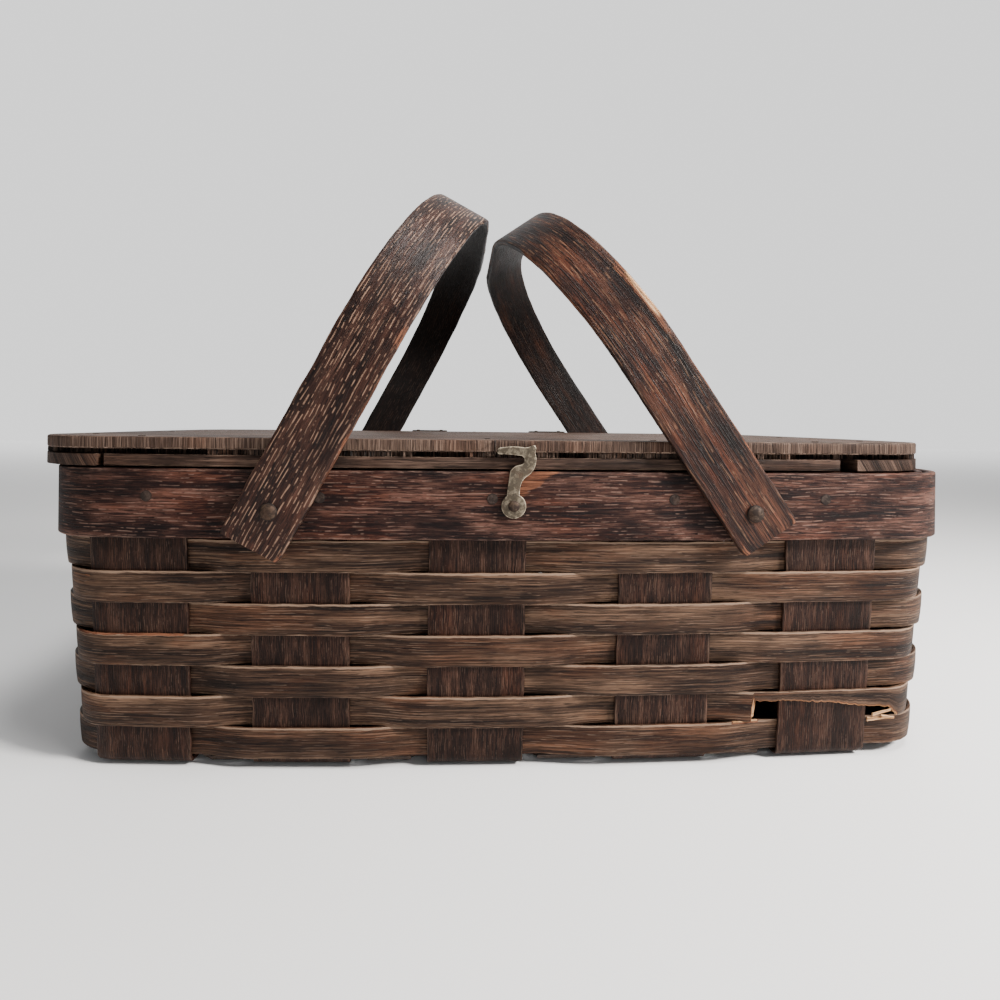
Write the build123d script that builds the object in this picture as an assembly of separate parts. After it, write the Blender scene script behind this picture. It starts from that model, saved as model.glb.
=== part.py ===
from build123d import *
import math
import os

# Splint picnic basket.
#
# A rectangular basket woven from thin oak splints, with a bentwood band round its rim,
# a built-up wooden lid on two small hinges at the back, two bentwood carrying bows that
# swing on rivets through the band, and a flat hook that holds the lid at the front.
#
# The origin is on the surface the basket stands on, below the middle of the base.
# X runs along the basket, -Y is the front with the hook, and Z is up. Sizes are in mm.

# Body
RIM_LENGTH = 466.0
RIM_DEPTH = 280.0
BODY_HEIGHT = 146.5
CORNER_RADIUS = 40.0
LONG_SIDE_BOW = 6.5
END_SIDE_BOW = 2.5
WALL_TAPER = 8.5

# Rim bands
BAND_HEIGHT = 33.0
BAND_THICKNESS = 4.0
INNER_BAND_HEIGHT = 24.0
INNER_BAND_THICKNESS = 3.0
SCARF_LENGTH = 60.0
SCARF_KERF = 0.3
SCARF_OVERCUT = 1.3
OUTER_SCARF_X = 30.0
INNER_SCARF_X = -40.0

# Splints that carry the weave
SPLINT_WIDTH = 47.0
SPLINT_THICKNESS = 1.6
SPLINT_BEND_RADIUS = 4.0
LEFT_SPLINT_INSET = 54.0
RIGHT_SPLINT_INSET = 74.0
SPLINT_DRIFT = (0.0, -7.6, -7.6, 0.2, 0.0)
LONG_SPLINT_COUNT = 3
LONG_SPLINT_PITCH = 74.0
CROSS_FILLER_GAP = 8.0
LONG_FILLER_GAP = 1.5
EDGE_FILLER_WIDTH = 17.0
EDGE_FILLER_END = 15.4

# Weavers that run round the walls
WEAVER_WIDTH = 15.0
WEAVER_THICKNESS = 1.4
WEAVER_PITCH = 15.3

# Lid
LID_LENGTH = 466.0
LID_DEPTH = 277.0
LID_SHIFT_X = -8.0
LID_CORNER_RADIUS = 43.0
LID_BOARD_THICKNESS = 5.8
LID_CORE_THICKNESS = 2.6
LID_FRAME_THICKNESS = 5.6
LID_STRIP_WIDTH = 32.0
LEFT_CLEAT_WIDTH = 44.0
RIGHT_CLEAT_WIDTH = 54.0
CLEAT_GAP_LEFT = 3.0
CLEAT_GAP_RIGHT = 9.0
LID_EDGE_WEAR = 0.8
CORE_EDGE_INSET = 1.0
CORE_BREAK_DEPTH = 7.0
CORE_BREAKS = ((-228.0, -145.4), (-49.4, -22.9), (20.0, 35.0), (136.3, 206.0))
LID_BRAD_SIDE = 2.4
LID_BRAD_LENGTH = 12.0
LID_BRAD_PROUD = 0.3
LID_BRADS_PER_SIDE = 5
LID_BRADS_PER_CLEAT = 3
CLEAT_BRAD_SPREAD = 0.75

# Carrying bows
BOW_PIVOT_X = 114.0
BOW_PIVOT_DROP = 19.0
BOW_HEIGHT = 192.0
BOW_WIDTH = 31.0
BOW_THICKNESS = 4.0
BOW_TOP_RADIUS = 104.0
LEFT_BOW_LEAN = 28.1
RIGHT_BOW_LEAN = 34.2
LEFT_BOW_TAIL = 19.0
RIGHT_BOW_TAIL = 14.5

# Rivets that the bows swing on, each with a collar beside the band and a burr inside it
RIVET_RADIUS = 2.0
RIVET_HEAD_RADIUS = 4.15
RIVET_HEAD_HEIGHT = 2.2
BURR_RADIUS = 4.5
BURR_THICKNESS = 0.9
RIVET_TAIL_RADIUS = 2.9
RIVET_TAIL_HEIGHT = 1.0
COLLAR_RADIUS = 4.5

# Heads of rivets, pins and nails: their sides, the share of the height that is their rim,
# and the share of the width that is their flat top
HEAD_SIDES = 12
COLLAR_SIDES = 8
HEAD_RIM_SHARE = 0.3
HEAD_TOP_SHARE = 0.5
NAIL_SIDES = 6
NAIL_TOP_SHARE = 0.7

# Nails through the rim
NAIL_DROP = 13.0
NAIL_HEAD_RADIUS = 2.6
NAIL_HEAD_PROUD = 0.5
NAIL_SHANK_SIDE = 1.6
NAIL_DRIFT = (6.0, 10.1, 6.6, 2.0, -6.0)

# Hinges
HINGE_X = 52.0
HINGE_LENGTH = 30.0
HINGE_BAND_GRIP = 13.0
HINGE_LID_GRIP = 16.0
HINGE_LEAF_THICKNESS = 1.0
HINGE_KNUCKLE_RADIUS = 2.3
HINGE_PIN_RADIUS = 1.1
HINGE_KNUCKLES = 3
HINGE_KNUCKLE_SIDES = 10
HINGE_NAIL_SIDE = 1.4
HINGE_NAIL_HEAD_RADIUS = 1.7
HINGE_NAIL_HEAD_HEIGHT = 0.6
HINGE_NAIL_LENGTH = 4.5
HINGE_NAIL_INSET = 4.0

# Hook and the staple that it reaches for
HOOK_X = -1.0
HOOK_PIVOT_DROP = 16.2
HOOK_THICKNESS = 2.2
HOOK_BOSS_RADIUS = 5.8
HOOK_SHANK_WIDTH = 5.8
HOOK_LEAN = 7.0
HOOK_SHANK_SHIFT = 1.0
HOOK_SHANK_LEFT_TOP = 15.5
HOOK_SHANK_RIGHT_TOP = 9.4
HOOK_PIN_RADIUS = 1.3
HOOK_PIN_HEAD_RADIUS = 2.7
HOOK_PIN_HEAD_HEIGHT = 1.3
HOOK_PIN_LENGTH = 11.0
STAPLE_X = -10.1
STAPLE_WIRE_RADIUS = 0.45
STAPLE_WIRE_SIDES = 6
STAPLE_LOW = 8.0
STAPLE_HIGH = 14.2
STAPLE_REACH = 5.4
STAPLE_LEG = 9.0

# Arcs of the hook's plate from the top of its shank's left edge, over the nose and down to
# the right edge: the middle and the end of each, across and up from the pin
HOOK_ARCS = (
    ((-2.4, 18.2), (0.4, 19.6)),
    ((2.2, 21.8), (0.6, 23.9)),
    ((-4.8, 23.9), (-10.2, 23.3)),
    ((-11.2, 24.7), (-9.3, 26.6)),
    ((-4.1, 27.8), (1.7, 28.0)),
    ((3.9, 28.8), (5.7, 29.8)),
    ((6.8, 28.6), (6.6, 26.5)),
    ((7.7, 21.0), (4.9, 15.2)),
)
HOOK_HEEL = (2.7, 12.6)

# Clearances
SEAT_GAP = 0.1
WEAVE_GAP = 0.25
BASE_WEAVE_GAP = 0.2
LID_GAP = 0.8
RUNNING_GAP = 0.05
FACE_GAP = 0.15
BOW_SIDE_GAP = 1.5
HOLE_GAP = 0.02
BAND_FOOT_GAP = 1.0
BASE_ROW_GAP = 4.0
BASE_BEND_LEAD = 0.5
CUT_MARGIN = 1.0

# Steps of the walk that the weavers follow
WALK_STEP = 10.0
WALK_FINE_STEPS = 600
LEAST_WALK_STEPS = 3
CURVE_DEVIATION = 0.05
WEAVER_DEVIATION = 0.12
WEAVER_END_GAP = 0.3

# Heights that follow
RIM_TOP = BODY_HEIGHT
BAND_FOOT = RIM_TOP - BAND_HEIGHT
WEAVER_ROWS = int((BAND_FOOT - BAND_FOOT_GAP - BASE_ROW_GAP) / WEAVER_PITCH)
LID_BOTTOM = RIM_TOP + LID_GAP
CORE_BOTTOM = LID_BOTTOM + LID_FRAME_THICKNESS
BOARD_BOTTOM = CORE_BOTTOM + LID_CORE_THICKNESS
LID_TOP = BOARD_BOTTOM + LID_BOARD_THICKNESS
PIVOT_Z = RIM_TOP - BOW_PIVOT_DROP
NAIL_Z = RIM_TOP - NAIL_DROP
HOOK_Z = RIM_TOP - HOOK_PIVOT_DROP

# Insets of the wall's layers from the band's outer face
SPLINT_INSET = BAND_THICKNESS + SEAT_GAP + SPLINT_THICKNESS / 2
INNER_BAND_INSET = SPLINT_INSET + SPLINT_THICKNESS / 2 + SEAT_GAP
RIM_INNER_INSET = INNER_BAND_INSET + INNER_BAND_THICKNESS
WEAVE_SWING = (SPLINT_THICKNESS + WEAVER_THICKNESS) / 2 + WEAVE_GAP

# Hinge axis, behind the lid's top back edge
HINGE_Z = LID_TOP + HINGE_LEAF_THICKNESS - HINGE_KNUCKLE_RADIUS

# Ends of the lid
LID_LEFT = LID_SHIFT_X - LID_LENGTH / 2
LID_RIGHT = LID_SHIFT_X + LID_LENGTH / 2

# Places of the splints and nails, tied to the rim's ends
FIRST_SPLINT_X = LEFT_SPLINT_INSET - RIM_LENGTH / 2
SPLINT_PITCH = (RIM_LENGTH - LEFT_SPLINT_INSET - RIGHT_SPLINT_INSET) / (len(SPLINT_DRIFT) - 1)
CROSS_SPLINT_X = [FIRST_SPLINT_X + SPLINT_PITCH * k + drift for k, drift in enumerate(SPLINT_DRIFT)]
LONG_SPLINT_Y = [LONG_SPLINT_PITCH * (k - (LONG_SPLINT_COUNT - 1) / 2) for k in range(LONG_SPLINT_COUNT)]
FRONT_NAIL_X = [x + drift for x, drift in zip(CROSS_SPLINT_X, NAIL_DRIFT)]

# Levels of the woven base
BASE_STEP = SPLINT_THICKNESS + BASE_WEAVE_GAP
BASE_LOW = SPLINT_THICKNESS / 2
BASE_MID = BASE_LOW + BASE_STEP
BASE_HIGH = BASE_MID + BASE_STEP

os.makedirs("parts", exist_ok=True)


class Outline:
    """A plan outline of bowed sides and corner arcs, all tangent, read by its normal's angle."""

    def __init__(self, length, depth, corner, long_bow, end_bow, shift_x=0.0):
        self.shift_x = shift_x
        self.corner = corner
        self.long_r = ((length / 2 - corner) ** 2 + long_bow**2) / (2 * long_bow)
        self.end_r = ((depth / 2 - corner) ** 2 + end_bow**2) / (2 * end_bow)
        self.long_y = depth / 2 - self.long_r
        self.end_x = length / 2 - self.end_r
        to_long = self.long_r - corner
        to_end = self.end_r - corner
        span = math.hypot(self.end_x, self.long_y)
        along = (to_long**2 - to_end**2 + span**2) / (2 * span)
        aside = math.sqrt(to_long**2 - along**2)
        ux = self.end_x / span
        uy = -self.long_y / span
        self.corner_x = along * ux + aside * uy
        self.corner_y = self.long_y + along * uy - aside * ux
        self.end_angle = math.atan2(self.corner_y, self.corner_x - self.end_x)
        self.long_angle = math.atan2(self.corner_y - self.long_y, self.corner_x)

    def point(self, angle, inset):
        """Plan point whose outward normal has this angle, moved in by the inset."""
        c = math.cos(angle)
        s = math.sin(angle)
        quadrant = math.atan2(abs(s), abs(c))
        if quadrant < self.end_angle:
            cx, cy, r = self.end_x, 0.0, self.end_r
        elif quadrant < self.long_angle:
            cx, cy, r = self.corner_x, self.corner_y, self.corner
        else:
            cx, cy, r = 0.0, self.long_y, self.long_r
        x = cx + (r - inset) * abs(c)
        y = cy + (r - inset) * abs(s)
        return math.copysign(x, c) + self.shift_x, math.copysign(y, s)

    def angle_at_x(self, x, inset):
        """Normal angle, from 0 to 180 degrees, of the back wall's point at this x."""
        x -= self.shift_x
        if abs(x) <= (self.long_r - inset) * math.cos(self.long_angle):
            quadrant = math.acos(abs(x) / (self.long_r - inset))
        else:
            quadrant = math.acos((abs(x) - self.corner_x) / (self.corner - inset))
        return quadrant if x >= 0 else math.pi - quadrant

    def angle_at_y(self, y, inset):
        """Normal angle, from -90 to 90 degrees, of the right wall's point at this y."""
        if abs(y) <= (self.end_r - inset) * math.sin(self.end_angle):
            quadrant = math.asin(abs(y) / (self.end_r - inset))
        else:
            quadrant = math.asin((abs(y) - self.corner_y) / (self.corner - inset))
        return math.copysign(quadrant, y)

    def half_depth(self, x, inset):
        """Distance from the X axis to the long wall at this x."""
        return self.point(self.angle_at_x(x, inset), inset)[1]

    def half_length(self, y, inset):
        """Distance from the Y axis to the end wall at this y."""
        return self.point(self.angle_at_y(y, inset), inset)[0] - self.shift_x

    def steps(self, start, end, inset, deviation=CURVE_DEVIATION):
        """Normal angles from start to end, as close as the wall's curve needs."""
        a, b = self.end_angle, self.long_angle
        marks = [start, end]
        for lap in range(-1, 4):
            for mark in (-b, -a, a, b):
                if start < mark + lap * math.pi < end:
                    marks.append(mark + lap * math.pi)
        marks.sort()
        angles = [start]
        for low, high in zip(marks, marks[1:]):
            before = self.point(low, inset)
            after = self.point(high, inset)
            radius = math.dist(before, after) / (2 * math.sin((high - low) / 2))
            widest = 2 * math.acos(1 - deviation / radius)
            count = math.ceil((high - low) / widest)
            angles += [low + (high - low) * k / count for k in range(1, count + 1)]
        return angles

    def face(self, inset, z):
        """Flat face inside the outline at this inset and height."""
        a, b = self.end_angle, self.long_angle
        stops = [-a, a, b, math.pi - b, math.pi - a, math.pi + a, math.pi + b, -b, -a]
        edges = []
        for start, end in zip(stops, stops[1:]):
            if end < start:
                end += 2 * math.pi
            trio = [self.point(t, inset) for t in (start, (start + end) / 2, end)]
            edges.append(ThreePointArc(*[(x, y, z) for x, y in trio]))
        return make_face(Wire(edges))


RIM = Outline(RIM_LENGTH, RIM_DEPTH, CORNER_RADIUS, LONG_SIDE_BOW, END_SIDE_BOW)
LID = Outline(LID_LENGTH, LID_DEPTH, LID_CORNER_RADIUS, LONG_SIDE_BOW, END_SIDE_BOW, LID_SHIFT_X)

# The bows' legs run just clear of the band and of the nail heads in it
BOW_REACH = math.hypot(max(LEFT_BOW_TAIL, RIGHT_BOW_TAIL), BOW_WIDTH / 2)
BOW_INNER_Y = RIM.half_depth(BOW_PIVOT_X - BOW_REACH, 0) + BOW_SIDE_GAP
BOW_MID_Y = BOW_INNER_Y + BOW_THICKNESS / 2
BOW_OUTER_Y = BOW_INNER_Y + BOW_THICKNESS

# The hinges' lower leaves stand just behind the band and the lid
HINGE_INNER_X = HINGE_X - HINGE_LENGTH / 2
HINGE_FACE_Y = max(RIM.half_depth(HINGE_INNER_X, 0), LID.half_depth(-HINGE_INNER_X, 0)) + SEAT_GAP
HINGE_AXIS_Y = HINGE_FACE_Y + HINGE_KNUCKLE_RADIUS


def save(node, *solids):
    """Write one node of the part to its file."""
    shape = solids[0] if len(solids) == 1 else Compound(children=list(solids))
    shape.label = node
    export_step(shape, f"parts/{node}.step")


def box(x0, x1, y0, y1, z0, z1):
    """Box between two corners."""
    return Pos((x0 + x1) / 2, (y0 + y1) / 2, (z0 + z1) / 2) * Box(x1 - x0, y1 - y0, z1 - z0)


def rod_y(x, z, radius, y0, y1):
    """Round rod along Y from y0 to y1."""
    rod = Cylinder(radius, y1 - y0, align=(Align.CENTER, Align.CENTER, Align.MIN))
    return Pos(x, y0, z) * Rot(-90, 0, 0) * rod


def prism_y(x, radius, y0, y1):
    """Many-sided rod on a rivet's axis between y0 and y1, its flats at the radius."""
    rod = extrude(RegularPolygon(radius, COLLAR_SIDES, major_radius=False), amount=abs(y1 - y0))
    return Pos(x, min(y0, y1), PIVOT_Z) * Rot(-90, 0, 0) * rod


def frustum(radius, top_share, sides, height):
    """Many-sided frustum standing on Z."""
    lean = math.degrees(math.atan2(radius * (1 - top_share), height))
    return extrude(RegularPolygon(radius, sides), amount=height, taper=lean)


def dome(radius, height):
    """Low domed head standing on Z: a rim, and a crown above it."""
    rim = height * HEAD_RIM_SHARE
    drum = extrude(RegularPolygon(radius, HEAD_SIDES), amount=rim)
    return drum + Pos(0, 0, rim) * frustum(radius, HEAD_TOP_SHARE, HEAD_SIDES, height - rim)


def dome_y(x, z, radius, height, y0, outward):
    """Low domed head on Y, standing out from y0 towards outward, which is 1 or -1."""
    return Pos(x, y0, z) * Rot(-90 * outward, 0, 0) * dome(radius, height)


def wall_inset(z):
    """Inset of the wall's middle at this height: upright inside the band, leaning in below it."""
    return SPLINT_INSET + WALL_TAPER * max(0.0, BAND_FOOT - z) / BAND_FOOT


def band(height, outer_inset, thickness, scarf_x):
    """Hoop bent from one strip, its tapered ends lapped along a slanting seam at the back."""
    foot = RIM_TOP - height
    ring = RIM.face(outer_inset, foot) - RIM.face(outer_inset + thickness, foot)
    hoop = extrude(ring, amount=height, dir=(0, 0, 1))
    mid_y = RIM.half_depth(scarf_x, outer_inset + thickness / 2)
    seam_tilt = math.degrees(math.atan2(thickness, SCARF_LENGTH))
    seam_length = math.hypot(SCARF_LENGTH, thickness) * SCARF_OVERCUT
    seam = Box(seam_length, SCARF_KERF, height + 2 * CUT_MARGIN)
    return hoop - Pos(scarf_x, mid_y, foot + height / 2) * Rot(0, 0, seam_tilt) * seam


def across(outer, inner):
    """Closed wire across a strip, through the rows of points of its outer and inner faces."""

    def edge(points):
        return Line(points[0], points[-1]) if len(points) == 2 else Spline(*points)

    ends = Line(outer[-1], inner[-1]), Line(inner[0], outer[0])
    return Wire([edge(outer), ends[0], edge(inner[::-1]), ends[1]])


def lofted(sections):
    """Solid through a row of closed wires."""
    return Solid.make_loft(sections, ruled=True)


BEND_STEPS = [math.radians(a) for a in (0, 30, 60, 90)]


def wall_sections(stations, place, edge_of, side):
    """Sections of a splint up one wall, from the base's bend to its end inside the rim.

    stations are the distances across the wall that each section has points at, place turns a
    distance across, a distance out and a height into a point, edge_of gives the wall's
    distance out at an inset, and side is the wall's sign.
    """
    half = SPLINT_THICKNESS / 2
    bend_outer = SPLINT_BEND_RADIUS
    bend_inner = bend_outer - SPLINT_THICKNESS
    bend_z = BASE_MID - half + bend_outer
    foot_inset = wall_inset(bend_z) - half
    sections = []
    for turn in reversed(BEND_STEPS):
        faces = []
        for radius in (bend_outer, bend_inner):
            reach = radius * math.cos(turn) - bend_outer
            z = bend_z - radius * math.sin(turn)
            faces.append([place(a, side * (edge_of(a, foot_inset) + reach), z) for a in stations])
        sections.append(across(*faces))
    for z in (BAND_FOOT, RIM_TOP - SEAT_GAP):
        faces = []
        for inset in (wall_inset(z) - half, wall_inset(z) + half):
            faces.append([place(a, side * edge_of(a, inset), z) for a in stations])
        sections.append(across(*faces))
    return sections


def cross_splint(centre_x):
    """Splint up the front wall, flat across the base and up the back wall."""
    span = [RIM.angle_at_x(centre_x - k * SPLINT_WIDTH / 2, SPLINT_INSET) for k in (-1, 1)]
    stations = [RIM.point(angle, SPLINT_INSET)[0] for angle in RIM.steps(*span, SPLINT_INSET)]

    def place(x, out, z):
        return (x, out, z)

    front = wall_sections(stations, place, RIM.half_depth, -1)
    back = wall_sections(stations, place, RIM.half_depth, 1)
    return lofted(front[::-1] + back)


def base_wave(parity, x_from, x_to):
    """Stations and levels of a strip woven over and under the cross strips."""
    stations = []
    for index, (centre, width) in enumerate(cross_strips()):
        level = BASE_LOW if (index + parity) % 2 else BASE_HIGH
        for x in (centre - width / 2 - BASE_BEND_LEAD, centre + width / 2 + BASE_BEND_LEAD):
            if x_from < x < x_to:
                stations.append((x, level))
    return stations


def cross_strips():
    """Centre and width of every strip that crosses the base from front to back."""
    strips = []
    for left, right in zip(CROSS_SPLINT_X, CROSS_SPLINT_X[1:]):
        strips.append((left, SPLINT_WIDTH))
        width = right - left - SPLINT_WIDTH - 2 * CROSS_FILLER_GAP
        strips.append(((left + right) / 2, width))
    strips.append((CROSS_SPLINT_X[-1], SPLINT_WIDTH))
    return strips


def long_splint(centre_y, parity):
    """Splint up the left wall, woven through the base and up the right wall."""
    span = [RIM.angle_at_y(centre_y + k * SPLINT_WIDTH / 2, SPLINT_INSET) for k in (-1, 1)]
    stations = [RIM.point(angle, SPLINT_INSET)[1] for angle in RIM.steps(*span, SPLINT_INSET)]

    def place(y, out, z):
        return (out, y, z)

    left = wall_sections(stations, place, RIM.half_length, -1)
    right = wall_sections(stations, place, RIM.half_length, 1)
    edges = (stations[0], stations[-1])
    base = flat_sections(base_wave(parity, -RIM_LENGTH / 2, RIM_LENGTH / 2), edges)
    return lofted(left[::-1] + base + right)


def flat_sections(levels, edges):
    """Sections of a strip along the base, at each place along it and its level there."""
    half = SPLINT_THICKNESS / 2
    sections = []
    for x, level in levels:
        low, high = [[(x, y, z) for y in edges] for z in (level - half, level + half)]
        sections.append(across(low, high))
    return sections


def long_filler(centre_y, width, reach, parity):
    """Short strip woven through the base only, between the long splints."""
    levels = base_wave(parity, -reach, reach)
    levels = [(-reach, levels[0][1])] + levels + [(reach, levels[-1][1])]
    return lofted(flat_sections(levels, (centre_y - width / 2, centre_y + width / 2)))


def splint_spans():
    """Normal angles where each splint of the wall starts and ends, in order round the basket."""
    half = SPLINT_WIDTH / 2 + SPLINT_THICKNESS
    spans = []
    for y in LONG_SPLINT_Y:
        spans.append([RIM.angle_at_y(y + k * half, SPLINT_INSET) for k in (-1, 1)])
    for x in reversed(CROSS_SPLINT_X):
        spans.append([RIM.angle_at_x(x - k * half, SPLINT_INSET) for k in (-1, 1)])
    for y in reversed(LONG_SPLINT_Y):
        spans.append([math.pi - RIM.angle_at_y(y - k * half, SPLINT_INSET) for k in (-1, 1)])
    for x in CROSS_SPLINT_X:
        spans.append([2 * math.pi - RIM.angle_at_x(x + k * half, SPLINT_INSET) for k in (-1, 1)])
    return spans


def gap_walk(start, end):
    """Normal angles through the gap between two splints, evenly spaced along the wall."""
    lengths = [0.0]
    angles = [start + (end - start) * k / WALK_FINE_STEPS for k in range(WALK_FINE_STEPS + 1)]
    before = RIM.point(start, SPLINT_INSET)
    for angle in angles[1:]:
        here = RIM.point(angle, SPLINT_INSET)
        lengths.append(lengths[-1] + math.dist(before, here))
        before = here
    count = max(LEAST_WALK_STEPS, round(lengths[-1] / WALK_STEP))
    walk = []
    for k in range(1, count):
        target = lengths[-1] * k / count
        at = next(i for i, length in enumerate(lengths) if length >= target)
        walk.append((angles[at], math.cos(math.pi * k / count)))
    return walk


def weave_walk(first):
    """Stations once round the wall as normal angle and swing, which is 1 on the splint first."""
    spans = splint_spans()
    count = len(spans)
    middle = sum(spans[first]) / 2
    seam = WEAVER_END_GAP / RIM.long_r
    walk = []
    for step in range(count):
        index = (first + step) % count
        after = (index + 1) % count
        swing = 1.0 if step % 2 == 0 else -1.0
        lap = 2 * math.pi * ((first + step) // count)
        lap_after = 2 * math.pi * ((first + step + 1) // count)
        start = spans[index][0] + lap if step else middle + seam
        on_splint = RIM.steps(start, spans[index][1] + lap, SPLINT_INSET, WEAVER_DEVIATION)
        walk.extend((angle, swing) for angle in on_splint)
        gap = gap_walk(spans[index][1] + lap, spans[after][0] + lap_after)
        walk.extend((angle, swing * blend) for angle, blend in gap)
    turn = 2 * math.pi
    last = RIM.steps(spans[first][0] + turn, middle + turn - seam, SPLINT_INSET, WEAVER_DEVIATION)
    walk.extend((angle, 1.0) for angle in last)
    return walk


def weaver(row):
    """One strip round the wall, over and under the splints, its ends meeting inside a back splint."""
    high = BAND_FOOT - BAND_FOOT_GAP - (row - 1) * WEAVER_PITCH
    low = high - WEAVER_WIDTH
    sections = []
    for angle, swing in weave_walk(LONG_SPLINT_COUNT + 1 + row % 2):
        faces = []
        for face in (-1, 1):
            insets = [wall_inset(z) + swing * WEAVE_SWING + face * WEAVER_THICKNESS / 2 for z in (low, high)]
            faces.append([(*RIM.point(angle, i), z) for i, z in zip(insets, (low, high))])
        sections.append(across(*faces))
    return lofted(sections)


def lid_board():
    """Thick top board, its upper edge eased by wear."""
    board = extrude(LID.face(0, BOARD_BOTTOM), amount=LID_BOARD_THICKNESS, dir=(0, 0, 1))
    return chamfer(board.edges().group_by(Axis.Z)[-1], LID_EDGE_WEAR)


def lid_core():
    """Thin sheet between the board and the frame, broken away at the front in places."""
    core = extrude(LID.face(CORE_EDGE_INSET, CORE_BOTTOM), amount=LID_CORE_THICKNESS, dir=(0, 0, 1))
    for x0, x1 in CORE_BREAKS:
        edge = -LID_DEPTH / 2 + CORE_BREAK_DEPTH
        core -= box(x0, x1, edge - LID_DEPTH / 2, edge, CORE_BOTTOM - CUT_MARGIN, LID_TOP)
    return core


def lid_frame():
    """The two cleats and two strips under the lid, cut from its outline."""
    sheet = extrude(LID.face(0, LID_BOTTOM), amount=LID_FRAME_THICKNESS, dir=(0, 0, 1))
    left, right = LID_LEFT, LID_RIGHT
    y = LID_DEPTH / 2
    z0, z1 = LID_BOTTOM, CORE_BOTTOM
    strip_left = left + LEFT_CLEAT_WIDTH + CLEAT_GAP_LEFT
    strip_right = right - RIGHT_CLEAT_WIDTH - CLEAT_GAP_RIGHT
    return {
        "lid_left_cleat": sheet & box(left, left + LEFT_CLEAT_WIDTH, -y, y, z0, z1),
        "lid_right_cleat": sheet & box(right - RIGHT_CLEAT_WIDTH, right, -y, y, z0, z1),
        "lid_front_strip": sheet & box(strip_left, strip_right, -y, LID_STRIP_WIDTH - y, z0, z1),
        "lid_back_strip": sheet & box(strip_left, strip_right, y - LID_STRIP_WIDTH, y, z0, z1),
    }


def lid_brads():
    """Cut brads down through the lid into its strips and cleats."""
    z1 = LID_TOP + LID_BRAD_PROUD
    z0 = z1 - LID_BRAD_LENGTH
    half = LID_BRAD_SIDE / 2
    row_y = LID_DEPTH / 2 - LID_STRIP_WIDTH / 2
    first = LID_LEFT + LEFT_CLEAT_WIDTH + LID_STRIP_WIDTH / 2
    last = LID_RIGHT - RIGHT_CLEAT_WIDTH - LID_STRIP_WIDTH / 2
    spots = []
    for k in range(LID_BRADS_PER_SIDE):
        x = first + (last - first) * k / (LID_BRADS_PER_SIDE - 1)
        spots += [(x, -row_y), (x, row_y)]
    for k in range(LID_BRADS_PER_CLEAT):
        y = row_y * (2 * k / (LID_BRADS_PER_CLEAT - 1) - 1) * CLEAT_BRAD_SPREAD
        spots += [(LID_LEFT + LEFT_CLEAT_WIDTH / 2, y), (LID_RIGHT - RIGHT_CLEAT_WIDTH / 2, y)]
    return [box(x - half, x + half, y - half, y + half, z0, z1) for x, y in spots]


def bow(side, lean, tail):
    """Bentwood carrying bow: two legs and a round top in one strip, swinging on a rivet at each end."""
    reach = BOW_MID_Y - BOW_TOP_RADIUS
    spring = BOW_HEIGHT - BOW_TOP_RADIUS
    bend = math.sqrt(0.5)

    def edge_line(v, r):
        return [
            Line((-v, -tail), (-v, spring)),
            ThreePointArc((-v, spring), (-reach - r * bend, spring + r * bend), (-reach, spring + r)),
            Line((-reach, spring + r), (reach, spring + r)),
            ThreePointArc((reach, spring + r), (reach + r * bend, spring + r * bend), (v, spring)),
            Line((v, spring), (v, -tail)),
        ]

    outer = edge_line(BOW_OUTER_Y, BOW_TOP_RADIUS + BOW_THICKNESS / 2)
    inner = edge_line(BOW_INNER_Y, BOW_TOP_RADIUS - BOW_THICKNESS / 2)
    ends = [Line((k * BOW_INNER_Y, -tail), (k * BOW_OUTER_Y, -tail)) for k in (-1, 1)]
    profile = make_face(Wire(outer + inner + ends))
    tilt = math.radians(lean)
    plane = Plane(
        origin=(side * BOW_PIVOT_X, 0, PIVOT_Z),
        x_dir=(0, 1, 0),
        z_dir=(math.cos(tilt), 0, side * math.sin(tilt)),
    )
    strip = extrude(plane * profile, amount=BOW_WIDTH / 2, both=True)
    long_y = BOW_OUTER_Y * 2
    return strip - rod_y(side * BOW_PIVOT_X, PIVOT_Z, RIVET_RADIUS + RUNNING_GAP, -long_y, long_y)


def rivet(side, end):
    """Rivet of a bow's leg: its head, its journal, its collar, its shank and its burred end.

    The bow runs on the round journal, the collar stands on the band, and the burr bears on
    the inner band. end is -1 at the front and 1 at the back.
    """
    x = side * BOW_PIVOT_X
    head_y = BOW_OUTER_Y + RUNNING_GAP
    collar_y = RIM.half_depth(BOW_PIVOT_X - COLLAR_RADIUS, 0)
    burr_face = RIM.half_depth(BOW_PIVOT_X + BURR_RADIUS, RIM_INNER_INSET)
    burr_y = burr_face - BURR_THICKNESS
    tail = Pos(x, end * burr_y, PIVOT_Z) * Rot(90 * end, 0, 0)
    tail *= frustum(RIVET_TAIL_RADIUS, HEAD_TOP_SHARE, COLLAR_SIDES, RIVET_TAIL_HEIGHT)
    return (
        dome_y(x, PIVOT_Z, RIVET_HEAD_RADIUS, RIVET_HEAD_HEIGHT, end * head_y, end)
        + rod_y(x, PIVOT_Z, RIVET_RADIUS, *sorted((end * collar_y, end * head_y)))
        + prism_y(x, COLLAR_RADIUS, end * collar_y, end * (BOW_INNER_Y - RUNNING_GAP))
        + prism_y(x, RIVET_RADIUS, end * burr_y, end * collar_y)
        + prism_y(x, BURR_RADIUS, end * burr_y, end * burr_face)
        + tail
    )


def rivet_holes(piece):
    """Piece of the rim with the four rivets' holes through it."""
    for side in (-1, 1):
        piece -= prism_y(side * BOW_PIVOT_X, RIVET_RADIUS + HOLE_GAP, -RIM_DEPTH, RIM_DEPTH)
    return piece


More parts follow.
